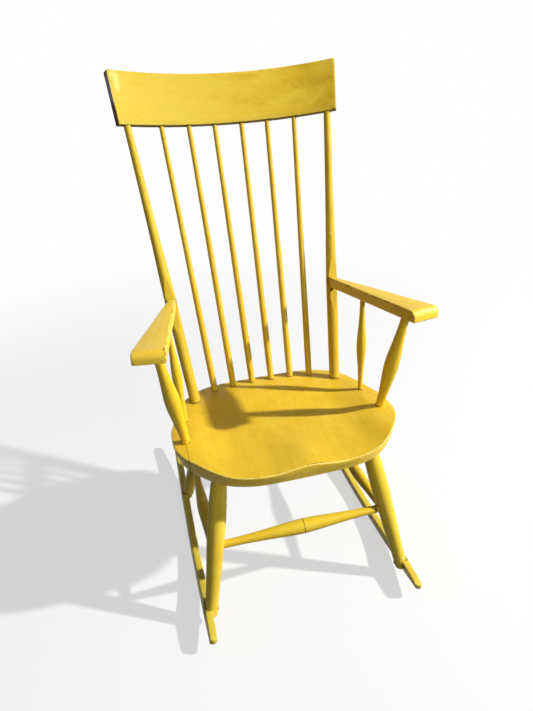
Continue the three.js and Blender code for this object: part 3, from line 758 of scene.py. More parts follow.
rocker = {
    "radius": 1.9,
    "low": -0.11,
    "drop": 0.3905,
    "front": -0.305,
    "back": 0.4319,
    "inset": 0.0135,
    "cantShare": 0.135,
    "toeShare": 0.009,
    "thickness": 0.0165,
    "height": 0.032,
    "lift": 0.0002,
    "edgeRound": 0.0022,
    "tipRound": 0.005,
    "tipSteps": 10,
    "thinnest": 0.0006,
    "cornerWidthShare": 0.45,
    "roundSteps": 4,
    "sideSteps": 3,
    "steps": 130,
    "sharpDegrees": 50,
}
rockerShares = [
    (0, 0.36), (0.012, 0.52), (0.05, 0.76), (0.105, 1), (0.2, 0.97), (0.5, 0.93), (0.65, 1),
    (0.8, 0.9), (0.93, 0.62), (0.985, 0.42), (1, 0.3),
]


def rockerUnderside(y):
    off = y - rocker["low"]
    return rocker["radius"] - rocker["drop"] - sqrt(rocker["radius"] ** 2 - off * off) + rocker["lift"]


def rockerUpperSide(y):
    along = (y - rocker["front"]) / (rocker["back"] - rocker["front"])
    return rockerUnderside(y) + rocker["height"] * smoothAt(rockerShares, along)


# The middle plane of a rocker: it runs wider apart towards the back and leans out towards the floor.
def gaugeAt(y, z):
    gauge = seat["halfWidth"] - rocker["inset"] + rocker["toeShare"] * (y - rocker["low"])
    return gauge - rocker["cantShare"] * (z + rocker["drop"])


def makeRocker(side, sign):
    thick, tip, steps = rocker["thickness"], rocker["tipRound"], rocker["steps"]
    inner = rocker["back"] - rocker["front"] - 2 * tip
    tips = [tip * (1 - cos(a)) for a in quarterTurn(rocker["tipSteps"])[:-1]]
    places = [rocker["front"] + near for near in tips]
    places += [rocker["front"] + tip + inner * i / steps for i in range(steps + 1)]
    places += [rocker["back"] - near for near in reversed(tips)]

    def endAt(y):
        return min(y - rocker["front"], rocker["back"] - y)

    rings = []
    for y in places:
        off = max(0, tip - endAt(y)) / tip
        width = max(rocker["thinnest"], thick * sqrt(max(0, 1 - off * off)))
        low, high = rockerUnderside(y), rockerUpperSide(y)
        corner = min(rocker["edgeRound"], width * rocker["cornerWidthShare"])
        section = roundedSection(width, high - low, corner, rocker["roundSteps"], rocker["sideSteps"])
        rings.append([(gaugeAt(y, low + up) + across - width / 2, y, low + up) for across, up in section])
    piece = skin(f"{side}Rocker", rings, still)

    def edgeAt(co):
        across = thick / 2 - abs(co.x - gaugeAt(co.y, co.z))
        return edgeOf(endAt(co.y), across, min(co.z - rockerUnderside(co.y), rockerUpperSide(co.y) - co.z))

    def jointAt(co):
        gaps = [abs(co.y - foot) for foot in (leg["frontFoot"], leg["rearFoot"])]
        return max(0, min(gaps) - leg["radius"] * leg["footDirtShare"])

    def footAt(co):
        return max(0, co.z - rockerUnderside(co.y))

    dress(piece, "rocker", lambda co: (co.y, co.z, co.x), edge=edgeAt, joint=jointAt, worn=footAt)
    toBench(piece, still, sign)
    standIn(piece, rocker["sharpDegrees"])


# The legs: turned, notched over the rocker

leg = {
    "radius": 0.0203,
    "headDepth": 0.0139,
    "frontHeadShare": (0.655, -0.6),
    "rearHeadShare": (0.603, 0.508),
    "frontFoot": -0.225,
    "rearFoot": 0.181,
    "footInset": 0.0092,
    "footDirtShare": 0.72,
    "cheekShare": 0.92,
    "cheekSteps": 12,
    "notchSteps": 12,
    "notchReach": 0.05,
    "notchDrop": 0.1,
    "notchOut": 0.08,
    "segments": 64,
    "sharpDegrees": 35,
}
legShares = [
    (0, 0.75), (0.1, 0.84), (0.22, 0.95), (0.34, 1), (0.48, 0.985), (0.65, 0.9), (0.82, 0.8), (1, 0.715),
]
cheekShares = [(0, 0.715), (0.5, 0.71), (0.84, 0.6), (0.96, 0.36), (1, 0.06)]


def legLine(headShare, foot):
    start = onSeat(*headShare, -seat["thickness"])
    height = rockerUpperSide(foot)
    return start, Vector((gaugeAt(foot, height) - leg["footInset"], foot, height))


legLines = {
    "Front": legLine(leg["frontHeadShare"], leg["frontFoot"]),
    "Rear": legLine(leg["rearHeadShare"], leg["rearFoot"]),
}


def makeLeg(side, sign, place):
    start, end = legLines[place]
    length = (end - start).length
    rows = turnedRows(legShares, length, leg["radius"], leg["headDepth"])
    cheek = leg["cheekShare"] * rocker["height"]
    for a in quarterTurn(leg["cheekSteps"])[1:]:
        rows.append((length + cheek * sin(a), leg["radius"] * smoothAt(cheekShares, sin(a))))
    piece = turned(f"{side}{place}Leg", sign, start, end, rows, segments=leg["segments"])
    gap, steps, reach = bench["jointGap"], leg["notchSteps"], leg["notchReach"]
    ys = [end.y + reach * (2 * i / steps - 1) for i in range(steps + 1)]
    outline = [(y, rockerUpperSide(y) + gap) for y in ys]
    outline += [(y, end.z - leg["notchDrop"]) for y in (ys[-1], ys[0])]
    inner = -rocker["thickness"] / 2 - gap
    rings = [[((gaugeAt(y, z) + x) * sign, y, z) for y, z in outline] for x in (inner, leg["notchOut"])]
    carve(piece, skin("cutter", rings, onBench))
    dress(
        piece, "leg", alongGrain, edge=lambda co: abs(length - co.z), joint=lambda co: max(0, co.z),
        worn=lambda co: max(0, length + cheek - co.z),
    )
    standIn(piece, leg["sharpDegrees"])


# The stretchers, each with a scribed ring at its middle

stretcher = {
    "endGap": 0.005,
    "crossRadius": 0.0168,
    "sideRadius": 0.015,
    "crossShare": 0.563,
    "sideShare": 0.657,
    "scribeDepth": 0.0008,
    "scribeHalfWidth": 0.0009,
    "scribeSteps": 4,
    "sharpDegrees": 30,
}
stretcherShares = [
    (0, 0.52), (0.12, 0.55), (0.26, 0.69), (0.38, 0.87), (0.46, 0.98), (0.5, 1), (0.54, 0.98), (0.62, 0.87),
    (0.74, 0.69), (0.88, 0.55), (1, 0.52),
]


def makeStretcher(name, start, end, radius, sign=1):
    way = (end - start).normalized() * stretcher["endGap"]
    start, end = start + way, end - way
    length = (end - start).length
    half, steps = stretcher["scribeHalfWidth"], stretcher["scribeSteps"]
    rows = [row for row in turnedRows(stretcherShares, length, radius) if abs(row[0] - length / 2) > 2 * half]
    for k in range(-steps, steps + 1):
        dip = stretcher["scribeDepth"] * (1 - abs(k) / steps)
        rows.append((length / 2 + half * k / steps, radius - dip))
    degrees = stretcher["sharpDegrees"]
    makeRod(name, "turned", sign, start, end, sorted(rows), length / 2, degrees, facing=upwards)


def makeStretchers():
    for place, (head, foot) in legLines.items():
        onLeg = head.lerp(foot, stretcher["crossShare"])
        makeStretcher(f"{place.lower()}Stretcher", onSide(onLeg, -1), onLeg, stretcher["crossRadius"])
    front, rear = (head.lerp(foot, stretcher["sideShare"]) for head, foot in legLines.values())
    for side, sign in sides:
        makeStretcher(f"{side}SideStretcher", front, rear, stretcher["sideRadius"], sign)


# Fasteners: round-headed screws in the legs, sunk screws in the stiles, pins in the crest

fastener = {
    "shank": 0.0022,
    "tipShare": 0.25,
    "tipCover": 0.004,
    "head": 0.0055,
    "headHeight": 0.0036,
    "dropShare": 0.33,
    "sink": 0.0014,
    "slotWidth": 0.0011,
    "slotDepth": 0.0013,
    "slotFacing": Vector((0.3, 0.2, 1)),
    "armHead": 0.0046,
    "armHeadShare": 0.97,
    "armHeadRim": 0.0002,
    "armSink": 0.0015,
    "armReach": 0.03,
    "pin": 0.0022,
    "pinDome": 0.0004,
    "pinDomeShares": (0.1, 0.25, 0.5, 0.75),
    "screwSegments": 32,
    "pinSegments": 24,
    "sharpDegrees": 32,
}
domeShares = [
    (0.1, 1), (0.3, 0.97), (0.52, 0.89), (0.7, 0.76), (0.84, 0.6), (0.93, 0.42), (0.985, 0.22), (1, 0),
]


# A screw from its head's underside to its tip, with a slot cut in the head.
def makeScrew(name, sign, start, end, headRows, top):
    length, shank = (end - start).length, fastener["shank"]
    rows = headRows + [(length - shank, shank), (length, shank * fastener["tipShare"])]
    piece = turned(name, sign, start, end, rows, fastener["slotFacing"], fastener["screwSegments"])
    half, reach, floor = fastener["slotWidth"] / 2, 2 * fastener["head"], top + fastener["slotDepth"]
    outline = [(-half, top - reach), (half, top - reach), (half, floor), (-half, floor)]
    rings = [[(x, y, z) for y, z in outline] for x in (-reach, reach)]
    carve(piece, skin("cutter", rings, piece.matrix_world))
    dress(
        piece, "steel", alongGrain, edge=lambda co: abs(co.y),
        joint=lambda co: max(0, fastener["head"] - hypot(co.x, co.y)),
    )
    standIn(piece, fastener["sharpDegrees"])


def makeRockerScrews(place):
    start, end = legLines[place]
    height = end.z - fastener["dropShare"] * rocker["height"]
    share = (height - start.z) / (end.z - start.z)
    middle = start.lerp(end, share)
    wide = leg["radius"] * smoothAt(cheekShares, share - 1)
    tip = gaugeAt(middle.y, height) + rocker["thickness"] / 2 - fastener["tipCover"]
    begin, stop = (Vector((x, middle.y, height)) for x in (middle.x - wide + fastener["sink"], tip))
    head, tall = fastener["head"], fastener["headHeight"]
    rows = [(-tall * rise, head * share) for share, rise in domeShares] + [(0, fastener["shank"])]
    for side, sign in sides:
        makeScrew(f"{side}{place}RockerScrew", sign, begin, stop, rows, -tall)


def makeArmScrews():
    middle = stileAtArm + stileWay * (arm["thickness"] / 2)
    begin = middle - armScrewWay * (stile["radius"] - fastener["armSink"])
    stop = middle + armScrewWay * (stile["flat"] + fastener["armReach"])
    head, shank = fastener["armHead"], fastener["shank"]
    rows = [(0, head * fastener["armHeadShare"]), (fastener["armHeadRim"], head), (head - shank, shank)]
    for side, sign in sides:
        makeScrew(f"{side}ArmScrew", sign, begin, stop, rows, 0)


def makeCrestPins():
    stub = stileEnd + stileWay * stile["pinHeight"]
    turn = asin(stub.x / (crest["radius"] + crest["thickness"] / 2))
    inwards = crestLean.to_3x3() @ Vector((-sin(turn), -cos(turn), 0))
    begin = stub - inwards * (crest["thickness"] / 2)
    stop = stub + inwards * (crest["thickness"] / 2 - fastener["tipCover"])
    wide, dome = fastener["pin"], fastener["pinDome"]
    rows = [(-dome * (1 - share * share), wide * share) for share in fastener["pinDomeShares"]]
    rows += [(0, wide), ((stop - begin).length, wide)]
    for side, sign in sides:
        piece = turned(f"{side}CrestPin", sign, begin, stop, rows, upwards, fastener["pinSegments"])
        dress(piece, "pin", lambda co: co, joint=lambda co: max(0, wide - hypot(co.x, co.y)))
        standIn(piece)


# All the pieces, in the order that sets their grain

makeSpindles()
for side, sign in sides:
    makeArm(side, sign)
    makeArmRods(side, sign)
for side, sign in sides:
    makeStile(side, sign)
print("back and arms made")

seatFeet = [
    (stileStart, stile["radius"] * stileShares[0][1]),
    (postFoot, armPost["radius"] * armPostShares[0][1]),
    (spindleFoot, armSpindle["radius"] * armSpindleShares[0][1]),
]
seatFeet += [(onSeat(*share), spindle["radius"] * spindleShares[0][1]) for share in spindle["footShares"]]
makeSeat(seatFeet)
makeCrest()
print("seat and crest made")

for side, sign in sides:
    makeRocker(side, sign)
    makeLeg(side, sign, "Front")
    makeLeg(side, sign, "Rear")
print("rockers and legs made")

makeStretchers()
print("stretchers made")

makeRockerScrews("Front")
makeRockerScrews("Rear")
makeArmScrews()
makeCrestPins()
print("fasteners made")

# Paint

paint = {                               # a scale is per metre along, across and through the grain
    "tones": ((0.75, 0.475, 0.018), (0.83, 0.56, 0.026), (0.88, 0.63, 0.045)),
    "cloudScale": (4, 11, 11), "cloudContrast": 0.22,
    # painted light and shade: its colour, and how the clouds vary it
    "paintedLightColour": None, "paintedLightVary": (0.3, 0.7, 0.7, 1.3),
    "streakScale": (7, 190, 190), "streakFrom": 0.38, "streakBorder": 0.3, "streakShare": 0.25,
    "streakColour": (0.66, 0.39, 0.04),
    "lineScale": (10, 560, 560), "lineFrom": 0.6, "lineBorder": 0.12, "lineShare": 0.2,
    "lineColour": (0.42, 0.24, 0.035),
    "speckScale": (330, 330, 330), "speckFrom": 0.715, "speckBorder": 0.04, "speckShare": 0.5,
    "speckColour": (0.2, 0.1, 0.02),
    "raggedScale": (60, 220, 220), "patchScale": (38, 150, 150), "spreadScale": (9, 9, 9),
    "swing": 4, "solidShare": 0.45,     # how far a ragged width may stray, and the share of it that is solid
    # the pale edge colour is partly worn paint and partly a painted highlight along the arrises
    "edgeWidth": 0.0016, "edgeRagged": 0.8, "edgeShare": 0.6, "edgeColour": (0.93, 0.72, 0.2),
    "chipWidth": 0.0011, "chipRagged": 1.6, "chipShare": 0.85, "chipColour": (0.17, 0.075, 0.028),
    "chipFrom": 0.56, "chipBorder": 0.06,
    "wornWidth": 0.0, "wornRagged": 1.0, "wornShare": 0.8, "wornColour": (0.17, 0.075, 0.028),
    "jointWidth": 0.002, "jointRagged": 0.5, "jointShare": 0.6, "jointColour": (0.13, 0.09, 0.02),
    "markVary": (0.25, 0.75),
    "gloss": 0.22, "roughness": 0.38, "roughVary": 0.12, "roughFrom": (0.3, 0.7),
    "chipRoughness": 0.25, "jointRoughness": 0.2,
    "streakHeight": 0.5, "lineDepth": 0.5, "chipDepth": 0.8, "bumpStrength": 0.35, "bumpDistance": 0.0006,
}
noises = {                              # detail, roughness and distortion
    "cloud": (4.0, 0.6, 0.3),
    "streak": (3.0, 0.6, 0.0),
    "line": (2.0, 0.5, 0.0),
    "speck": (1.0, 0.5, 0.0),
    "ragged": (3.0, 0.65, 0.0),
    "patch": (4.0, 0.7, 0.0),
    "spread": (2.0, 0.5, 0.0),
}


# Adds a shader node. An input is a value, or another node's output that is linked to it.
def addNode(tree, kind, inputs=None, **settings):
    made = tree.nodes.new(f"ShaderNode{kind}")
    for name, value in settings.items():
        setattr(made, name, value)
    for socket, value in (inputs or {}).items():
        if isinstance(value, bpy.types.NodeSocket):
            tree.links.new(value, made.inputs[socket])
        else:
            made.inputs[socket].default_value = value
    return made


def sums(tree, operation, a, b):
    return addNode(tree, "Math", {0: a, 1: b}, operation=operation).outputs["Value"]


def vectorSums(tree, operation, a, b=(0, 0, 0)):
    return addNode(tree, "VectorMath", {0: a, 1: b}, operation=operation).outputs


# A number between low and high comes out between start and stop.
def fromTo(tree, value, low, high, start=0.0, stop=1.0):
    made = addNode(tree, "MapRange", {
        "Value": value, "From Min": low, "From Max": high, "To Min": start, "To Max": stop,
    }, interpolation_type="SMOOTHSTEP")
    return made.outputs["Result"]


# The colour sockets of a mix node go in at 6 and 7 and come out at 2.
def mixed(tree, share, a, b):
    below, above = (c if isinstance(c, bpy.types.NodeSocket) else (*c, 1) for c in (a, b))
    return addNode(tree, "Mix", {0: share, 6: below, 7: above}, data_type="RGBA").outputs[2]


def mixedShader(tree, share, a, b):
    return addNode(tree, "MixShader", {"Fac": share, 1: a, 2: b}).outputs["Shader"]


def held(tree, name, output="Fac"):
    return addNode(tree, "Attribute", attribute_name=name).outputs[output]


def noiseLayers(tree, v, grain):
    layers = {}
    for name, (detail, roughness, warp) in noises.items():
        place = vectorSums(tree, "MULTIPLY", grain, v[f"{name}Scale"])["Vector"]
        layers[name] = addNode(tree, "TexNoise", {
            "Vector": place, "Scale": 1.0, "Detail": detail, "Roughness": roughness, "Distortion": warp,
        }).outputs["Fac"]
    return layers


# Where a distance is less than a ragged width: 1 at nothing, 0 past the width.
def nearMask(tree, v, name, distance, ragged):
    width = v[f"{name}Width"]
    strayed = width * v[f"{name}Ragged"] * v["swing"]
    shift = sums(tree, "MULTIPLY", sums(tree, "SUBTRACT", ragged, 0.5), strayed)
    moved = sums(tree, "ADD", held(tree, distance), shift)
    return fromTo(tree, moved, width * v["solidShare"], width, 1.0, 0.0)


def covered(tree, v, name, mask, below):
    return mixed(tree, sums(tree, "MULTIPLY", mask, v[f"{name}Share"]), below, v[f"{name}Colour"])


# The paint as it was brushed: clouds of a deeper and a paler tone, painted light and shade, streaks, fine
# lines and specks.
# Comes with where the fine lines are.
def brushedColour(tree, v, layers):
    clouds, (deep, tone, pale) = layers["cloud"], v["tones"]
    colour = mixed(tree, fromTo(tree, clouds, 0.5 - v["cloudContrast"], 0.5), deep, tone)
    colour = mixed(tree, fromTo(tree, clouds, 0.5, 0.5 + v["cloudContrast"]), colour, pale)
    # painted light and shade, for the pieces that have it
    if v["paintedLightColour"]:
        tint = sums(tree, "MULTIPLY", held(tree, "tint"), fromTo(tree, clouds, *v["paintedLightVary"]))
        colour = mixed(tree, tint, colour, v["paintedLightColour"])
    shares = {}
    for name in ("streak", "line", "speck"):
        start = v[f"{name}From"]
        shares[name] = fromTo(tree, layers[name], start, start + v[f"{name}Border"], 0.0, v[f"{name}Share"])
        colour = mixed(tree, shares[name], colour, v[f"{name}Colour"])
    return colour, shares["line"]


# Pale edges, partly worn paint and partly a painted highlight along the arrises, chips and one more worn
# place. Comes with where the paint is gone.
def wornColour(tree, v, layers, colour):
    colour = covered(tree, v, "edge", nearMask(tree, v, "edge", "edge", layers["ragged"]), colour)
    chips = nearMask(tree, v, "chip", "edge", layers["patch"])
    spread = fromTo(tree, layers["spread"], v["chipFrom"], v["chipFrom"] + v["chipBorder"])
    chips = sums(tree, "MULTIPLY", chips, spread)
    colour = covered(tree, v, "chip", chips, colour)
    if v["wornWidth"]:
        worn = nearMask(tree, v, "worn", "worn", layers["patch"])
        chips = sums(tree, "MAXIMUM", chips, worn)
        colour = covered(tree, v, "worn", worn, colour)
    return colour, chips


# The marks that show best in the photograph: the piece, a place in its grain, how far the mark reaches from
# there, its colour and share, how ragged its border is, and the share of it that fades out.
marks = (
    ("seatMainBoard", (-0.2703, 0.02, -0.0035), (0.0015, 0.027, 0.006), "brown", 0.75, 0.7, 0.3),
    ("seatMainBoard", (-0.241, 0.0149, -0.003), (0.0013, 0.0013, 0.004), "dark", 0.7, 0.5, 0.3),
    ("seatMainBoard", (-0.234, 0.0477, -0.0077), (0.0012, 0.0012, 0.004), "dark", 0.7, 0.5, 0.3),
    ("seatMainBoard", (-0.035, 0.2213, 0), (0.02, 0.0055, 0.01), "drip", 0.3, 0.35, 0.9),
    ("seatMainBoard", (-0.062, 0.2139, 0), (0.02, 0.0055, 0.01), "drip", 0.3, 0.35, 0.9),
    ("seatMainBoard", (-0.089, 0.2065, 0), (0.02, 0.0055, 0.01), "drip", 0.3, 0.35, 0.9),
    ("seatMainBoard", (-0.15, 0.206, 0), (0.045, 0.018, 0.01), "drip", 0.35, 0.35, 0.9),
    ("crestBoard", (0, 0, 0.009), (0.6, 0.0013, 0.06), "shadow", 0.85, 0.2, 0.3),
    # painted sky light on the middle of the crest's left end face, which lies in shade
    ("crestBoard", (-0.2668, 0.068, 0.009), (0.0022, 0.05, 0.03), "paintedSkyLight", 0.85, 0.3, 0.3),
    ("crestBoard", (-0.2668, 0.022, 0.009), (0.003, 0.032, 0.03), "rust", 0.85, 0.3, 0.3),
    ("crestBoard", (-0.2668, 0.116, 0.009), (0.003, 0.014, 0.03), "dark", 0.4, 0.3, 0.3),
    ("crestBoard", (0.2615, 0.002, 0), (0.02, 0.006, 0.01), "olive", 0.7, 0.6, 0.7),
    ("crestBoard", (-0.25, 0.09, 0), (0.011, 0.03, 0.006), "chalk", 0.42, 0.35, 0.9),
    ("crestBoard", (-0.255, 0.108, 0), (0.02, 0.012, 0.006), "chalk", 0.35, 0.35, 0.9),
    ("rightStile", (0.2287, 0.0095, -0.0045), (0.0035, 0.005, 0.004), "brown", 0.85, 0.5, 0.3),
    ("rightStile", (0.3711, 0.0112, -0.0035), (0.0045, 0.003, 0.0022), "chalk", 0.8, 0.5, 0.3),
    ("leftArm", (0.3315, -0.0232, 0.0238), (0.008, 0.0022, 0.0025), "red", 0.85, 0.5, 0.3),
    ("leftArm", (0.3395, -0.0262, 0.0165), (0.0032, 0.003, 0.0065), "red", 0.85, 0.5, 0.3),
    ("leftArm", (0.3425, -0.0262, 0.0075), (0.0026, 0.0026, 0.007), "red", 0.7, 0.5, 0.3),
    ("rightArm", (0.3418, -0.0262, 0.008), (0.0024, 0.0018, 0.011), "tan", 0.75, 0.5, 0.3),
    # a painted highlight along the right arm's rounded nose
    ("rightArm", (0.3385, 0.006, 0.0206), (0.003, 0.034, 0.003), "paintedHighlight", 0.6, 0.4, 0.8),
    ("rightArm", (0.3436, 0.006, 0.0006), (0.003, 0.036, 0.0018), "umber", 0.6, 0.6, 0.3),
    # a dark patch at the front stretcher's right end, beside the leg
    ("frontStretcher", (0.3725, 0, 0), (0.0055, 0.02, 0.02), "darkPatch", 0.85, 0.6, 0.3),
    ("leftFrontLeg", (0.331, 0.0105, -0.0105), (0.009, 0.006, 0.006), "stain", 0.65, 0.8, 0.8),
    ("rightFrontLeg", (0.3215, 0.0141, -0.0041), (0.0035, 0.004, 0.003), "chalk", 0.7, 0.5, 0.3),
    ("rightRocker", (-0.305, -0.3722, 0.2394), (0.0022, 0.0022, 0.0022), "ochre", 0.75, 0.5, 0.3),
)
markColours = {
    "brown": (0.2, 0.09, 0.02),
    "red": (0.3, 0.085, 0.025),
    "rust": (0.2, 0.08, 0.03),
    "umber": (0.42, 0.2, 0.07),
    "tan": (0.45, 0.22, 0.06),
    "stain": (0.6, 0.3, 0.03),
    "ochre": (0.45, 0.3, 0.03),
    "olive": (0.22, 0.14, 0.02),
    "shadow": (0.17, 0.105, 0.012),
    # the dark patch at the front stretcher's right end
    "darkPatch": (0.1, 0.075, 0.035),
    "dark": (0.09, 0.06, 0.02),
    # painted sky light
    "paintedSkyLight": (0.74, 0.68, 0.58),
    "chalk": (0.93, 0.78, 0.3),
    "paintedHighlight": (0.98, 0.88, 0.5),
    # a painted highlight
    "drip": (0.96, 0.73, 0.1),
}


def markedColour(tree, v, finish, layers, grain, colour):
    for piece, at, sizes, tone, share, ragged, fade in marks:
        if finishOf[piece] != finish:
            continue
        off = vectorSums(tree, "SUBTRACT", grain, Vector(at) + grainShift[piece])["Vector"]
        shrunk = vectorSums(tree, "MULTIPLY", off, tuple(1 / size for size in sizes))["Vector"]
        swing = fromTo(tree, layers["ragged"], *v["markVary"], -ragged, ragged)
        reach = sums(tree, "ADD", vectorSums(tree, "LENGTH", shrunk)["Value"], swing)
        colour = mixed(tree, fromTo(tree, reach, 1 - fade, 1.0, share, 0.0), colour, markColours[tone])
    return colour


def makePaint(finish, changes):
    v = {**paint, **changes}
    material = bpy.data.materials.new(f"{finish} paint")
    material.use_nodes = True
    tree = material.node_tree
    grain = held(tree, "grain", "Vector")
    layers = noiseLayers(tree, v, grain)
    colour, lines = brushedColour(tree, v, layers)
    colour, chips = wornColour(tree, v, layers, colour)
    colour = markedColour(tree, v, finish, layers, grain, colour)
    joints = nearMask(tree, v, "joint", "joint", layers["ragged"])
    colour = covered(tree, v, "joint", joints, colour)
    vary = fromTo(tree, layers["streak"], *v["roughFrom"], 0.0, v["roughVary"])
    dull = sums(tree, "ADD", vary, v["roughness"])
    height = sums(tree, "MULTIPLY", layers["streak"], v["streakHeight"])
    for mask, roughness in ((chips, v["chipRoughness"]), (joints, v["jointRoughness"])):
        dull = sums(tree, "ADD", dull, sums(tree, "MULTIPLY", mask, roughness))
    for mask, depth in ((lines, v["lineDepth"]), (chips, v["chipDepth"])):
        height = sums(tree, "SUBTRACT", height, sums(tree, "MULTIPLY", mask, depth))
    bump = addNode(tree, "Bump", {
        "Strength": v["bumpStrength"], "Distance": v["bumpDistance"], "Height": height,
    })
    shader = tree.nodes["Principled BSDF"]
    shader.inputs["Specular IOR Level"].default_value = v["gloss"]
    tree.links.new(colour, shader.inputs["Base Color"])
    tree.links.new(dull, shader.inputs["Roughness"])
    tree.links.new(bump.outputs["Normal"], shader.inputs["Normal"])
    return material


finishes = {
    "seat": {
        "tones": ((0.77, 0.475, 0.018), (0.84, 0.548, 0.024), (0.885, 0.615, 0.04)),
        "streakScale": (5, 150, 150), "lineScale": (7, 480, 480), "streakShare": 0.2, "lineShare": 0.16,
        "wornWidth": 0.0008, "wornRagged": 0.25, "wornShare": 0.9, "wornColour": (0.1, 0.06, 0.015),
        # the seat's pale rim is partly worn paint and partly a painted highlight
        "edgeWidth": 0.0014, "edgeColour": (0.95, 0.8, 0.3), "chipShare": 0.4,
        "cloudScale": (18, 26, 26), "cloudContrast": 0.24, "paintedLightColour": (0.95, 0.65, 0.05),
    },
    "crest": {
        "tones": ((0.66, 0.43, 0.02), (0.77, 0.52, 0.028), (0.84, 0.6, 0.05)),
        "cloudScale": (14, 24, 24), "cloudContrast": 0.13, "paintedLightColour": (0.6, 0.45, 0.05),
        "chipShare": 0.3, "chipFrom": 0.6, "chipWidth": 0.0009, "chipColour": (0.16, 0.07, 0.02),
        "wornWidth": 0.0005, "wornRagged": 0.6, "wornColour": (0.36, 0.28, 0.14), "wornShare": 0.6,
        "streakShare": 0.22, "roughness": 0.5, "gloss": 0.12,
    },
    "rod": {
        "tones": ((0.59, 0.37, 0.018), (0.655, 0.44, 0.026), (0.71, 0.505, 0.045)),
        "chipShare": 0.3, "roughness": 0.5, "gloss": 0.18,
    },
    "turned": {
        "tones": ((0.76, 0.475, 0.017), (0.82, 0.562, 0.025), (0.87, 0.625, 0.04)),
        "jointColour": (0.1, 0.07, 0.015), "jointShare": 0.8, "jointWidth": 0.0028,
    },
    "arm": {
        "tones": ((0.86, 0.56, 0.035), (0.9, 0.615, 0.053), (0.94, 0.66, 0.07)),
        # the arms' pale edges are partly worn paint and partly a painted highlight
        "chipFrom": 0.6, "edgeWidth": 0.0013, "edgeShare": 0.7, "jointShare": 0.3, "streakShare": 0.18,
        "wornWidth": 0.0015, "wornRagged": 1.8, "wornShare": 0.75, "wornColour": (0.2, 0.1, 0.02),
        "roughness": 0.4, "gloss": 0.26,
    },
    "leg": {
        "tones": ((0.8, 0.54, 0.036), (0.88, 0.64, 0.052), (0.93, 0.69, 0.07)),
        "chipShare": 0.25, "edgeShare": 0.3,
    },
    "rocker": {
        "tones": ((0.68, 0.49, 0.046), (0.8, 0.61, 0.062), (0.87, 0.69, 0.09)),
        "wornWidth": 0.003, "wornRagged": 1.2, "wornShare": 0.7, "wornColour": (0.2, 0.13, 0.06),
    },
    "steel": {
        "speckShare": 0.8, "speckFrom": 0.6, "speckScale": (900, 900, 900), "speckColour": (0.12, 0.07, 0.04),
        "jointColour": (0.3, 0.13, 0.03), "jointWidth": 0.0012, "edgeShare": 0.0, "chipShare": 0.0,
    },
    "pin": {
        "tones": ((0.3, 0.17, 0.06), (0.42, 0.25, 0.09), (0.5, 0.32, 0.13)),
        "streakColour": (0.25, 0.14, 0.05), "edgeShare": 0.0, "chipShare": 0.0, "jointWidth": 0.0005,
    },
}
materials = {finish: makePaint(finish, changes) for finish, changes in finishes.items()}
for name, finish in finishOf.items():
    piece = bpy.data.objects[name]
    piece.data.transform(piece.matrix_world)
    piece.matrix_world = still
    piece.data.materials.clear()
    piece.data.materials.append(materials[finish])
    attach(piece, "root")
print("paint mixed")

# Floor, lights and camera

floorValues = {
    "size": 14.0,
    "colour": (0.92, 0.92, 0.92, 1),            # what the camera sees of it, with the chair's shadow
    "bounceColour": (0.085, 0.082, 0.072, 1),   # what it throws back up
    "glowNear": 0.6,
    "glowFar": 1.0,
    "nearRadius": 0.9,
    "farRadius": 2.6,
}
lamps = {
    "key": {
        "way": (0.774, -0.272, 0.527), "distance": 7.0, "aim": 0.5, "size": 0.2, "spread": pi,
        "power": 708, "colour": (1.0, 0.99, 0.955),
    },
    "fill": {
        "way": (0.3, -0.9, 0.3), "distance": 2.6, "aim": 1.0, "size": 1.3, "spread": radians(50),
        "power": 3.4, "colour": (1, 1, 1),
    },
}
around = {
    "strength": 0.1,
    "colour": (0.8, 0.95, 1.25, 1),
}
white = (1, 1, 1, 1)


# 1 where the eye, a reflection or glass looks, and 0 for the light that falls on the chair.
def seenDirectly(tree):
    path = addNode(tree, "LightPath").outputs
    share = sums(tree, "MAXIMUM", path["Is Camera Ray"], path["Is Glossy Ray"])
    return sums(tree, "MAXIMUM", share, path["Is Transmission Ray"])


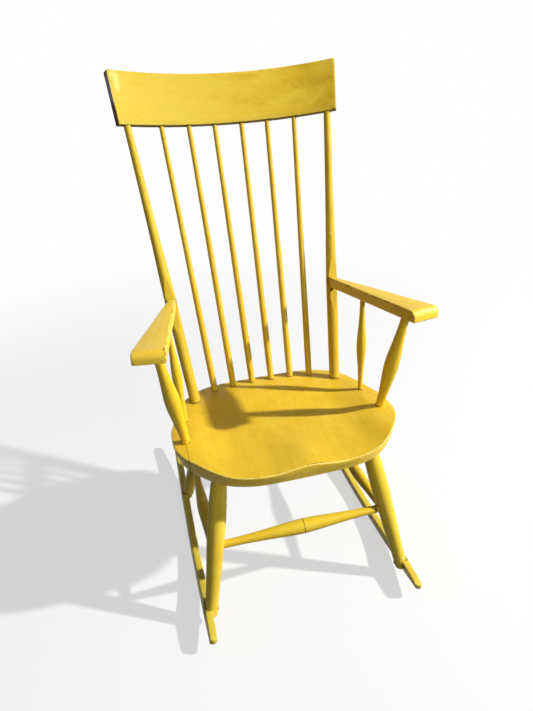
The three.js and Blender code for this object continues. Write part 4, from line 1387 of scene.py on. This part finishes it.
def makeFloor():
    mesh = bpy.data.meshes.new("floor")
    s = floorValues["size"]
    mesh.from_pydata([(-s, -s, 0), (s, -s, 0), (s, s, 0), (-s, s, 0)], [], [(0, 1, 2, 3)])
    material = bpy.data.materials.new("pale floor")
    material.use_nodes = True
    tree = material.node_tree
    tree.nodes.clear()
    place = addNode(tree, "TexCoord").outputs["Object"]
    reach = vectorSums(tree, "LENGTH", place)["Value"]
    glowShare = fromTo(
        tree, reach, floorValues["nearRadius"], floorValues["farRadius"], floorValues["glowNear"],
        floorValues["glowFar"],
    )
    seen = addNode(tree, "BsdfDiffuse", {"Color": floorValues["colour"]}).outputs["BSDF"]
    glow = addNode(tree, "Emission", {"Color": white, "Strength": 1}).outputs["Emission"]
    bounce = addNode(tree, "BsdfDiffuse", {"Color": floorValues["bounceColour"]}).outputs["BSDF"]
    surface = mixedShader(tree, seenDirectly(tree), bounce, mixedShader(tree, glowShare, seen, glow))
    addNode(tree, "OutputMaterial", {"Surface": surface})
    mesh.materials.append(material)
    linkObject("floor", mesh, still)


def makeWorld():
    world = bpy.data.worlds.new("studio")
    bpy.context.scene.world = world
    world.use_nodes = True
    tree = world.node_tree
    tree.nodes.clear()
    dim, bright = (
        addNode(tree, "Background", {"Color": colour, "Strength": strength}).outputs["Background"]
        for colour, strength in ((around["colour"], around["strength"]), (white, 1))
    )
    addNode(tree, "OutputWorld", {"Surface": mixedShader(tree, seenDirectly(tree), dim, bright)})


def makeLamp(name, v):
    data = bpy.data.lights.new(name, "AREA")
    data.size = v["size"]
    data.spread = v["spread"]
    data.energy = v["power"]
    data.color = v["colour"]
    away = Vector(v["way"]).normalized() * v["distance"]
    turn = (-away).to_track_quat("-Z", "Y").to_matrix().to_4x4()
    linkObject(name, data, Matrix.Translation(Vector((0, 0, v["aim"])) + away) @ turn)


makeFloor()
makeWorld()
for name, values in lamps.items():
    makeLamp(name, values)

camera = {
    "place": (-0.27056, -1.13696, 0.63736),
    "heading": radians(12.835),
    "pitch": radians(-23.643),
    "roll": radians(-4.089),
    "focalPixels": 545,
    "longSidePixels": 711,
    "clipStart": 0.05,
}


def makeCamera():
    data = bpy.data.cameras.new("camera")
    data.lens = data.sensor_width * camera["focalPixels"] / camera["longSidePixels"]
    data.clip_start = camera["clipStart"]
    turn = (
        Matrix.Rotation(-camera["heading"], 4, "Z")
        @ Matrix.Rotation(pi / 2 + camera["pitch"], 4, "X")
        @ Matrix.Rotation(camera["roll"], 4, "Z")
    )
    place = onBench @ Matrix.Translation(camera["place"]) @ turn
    bpy.context.scene.camera = linkObject("camera", data, place)


makeCamera()
bpy.context.scene.view_settings.view_transform = "Standard"
print("stage set")
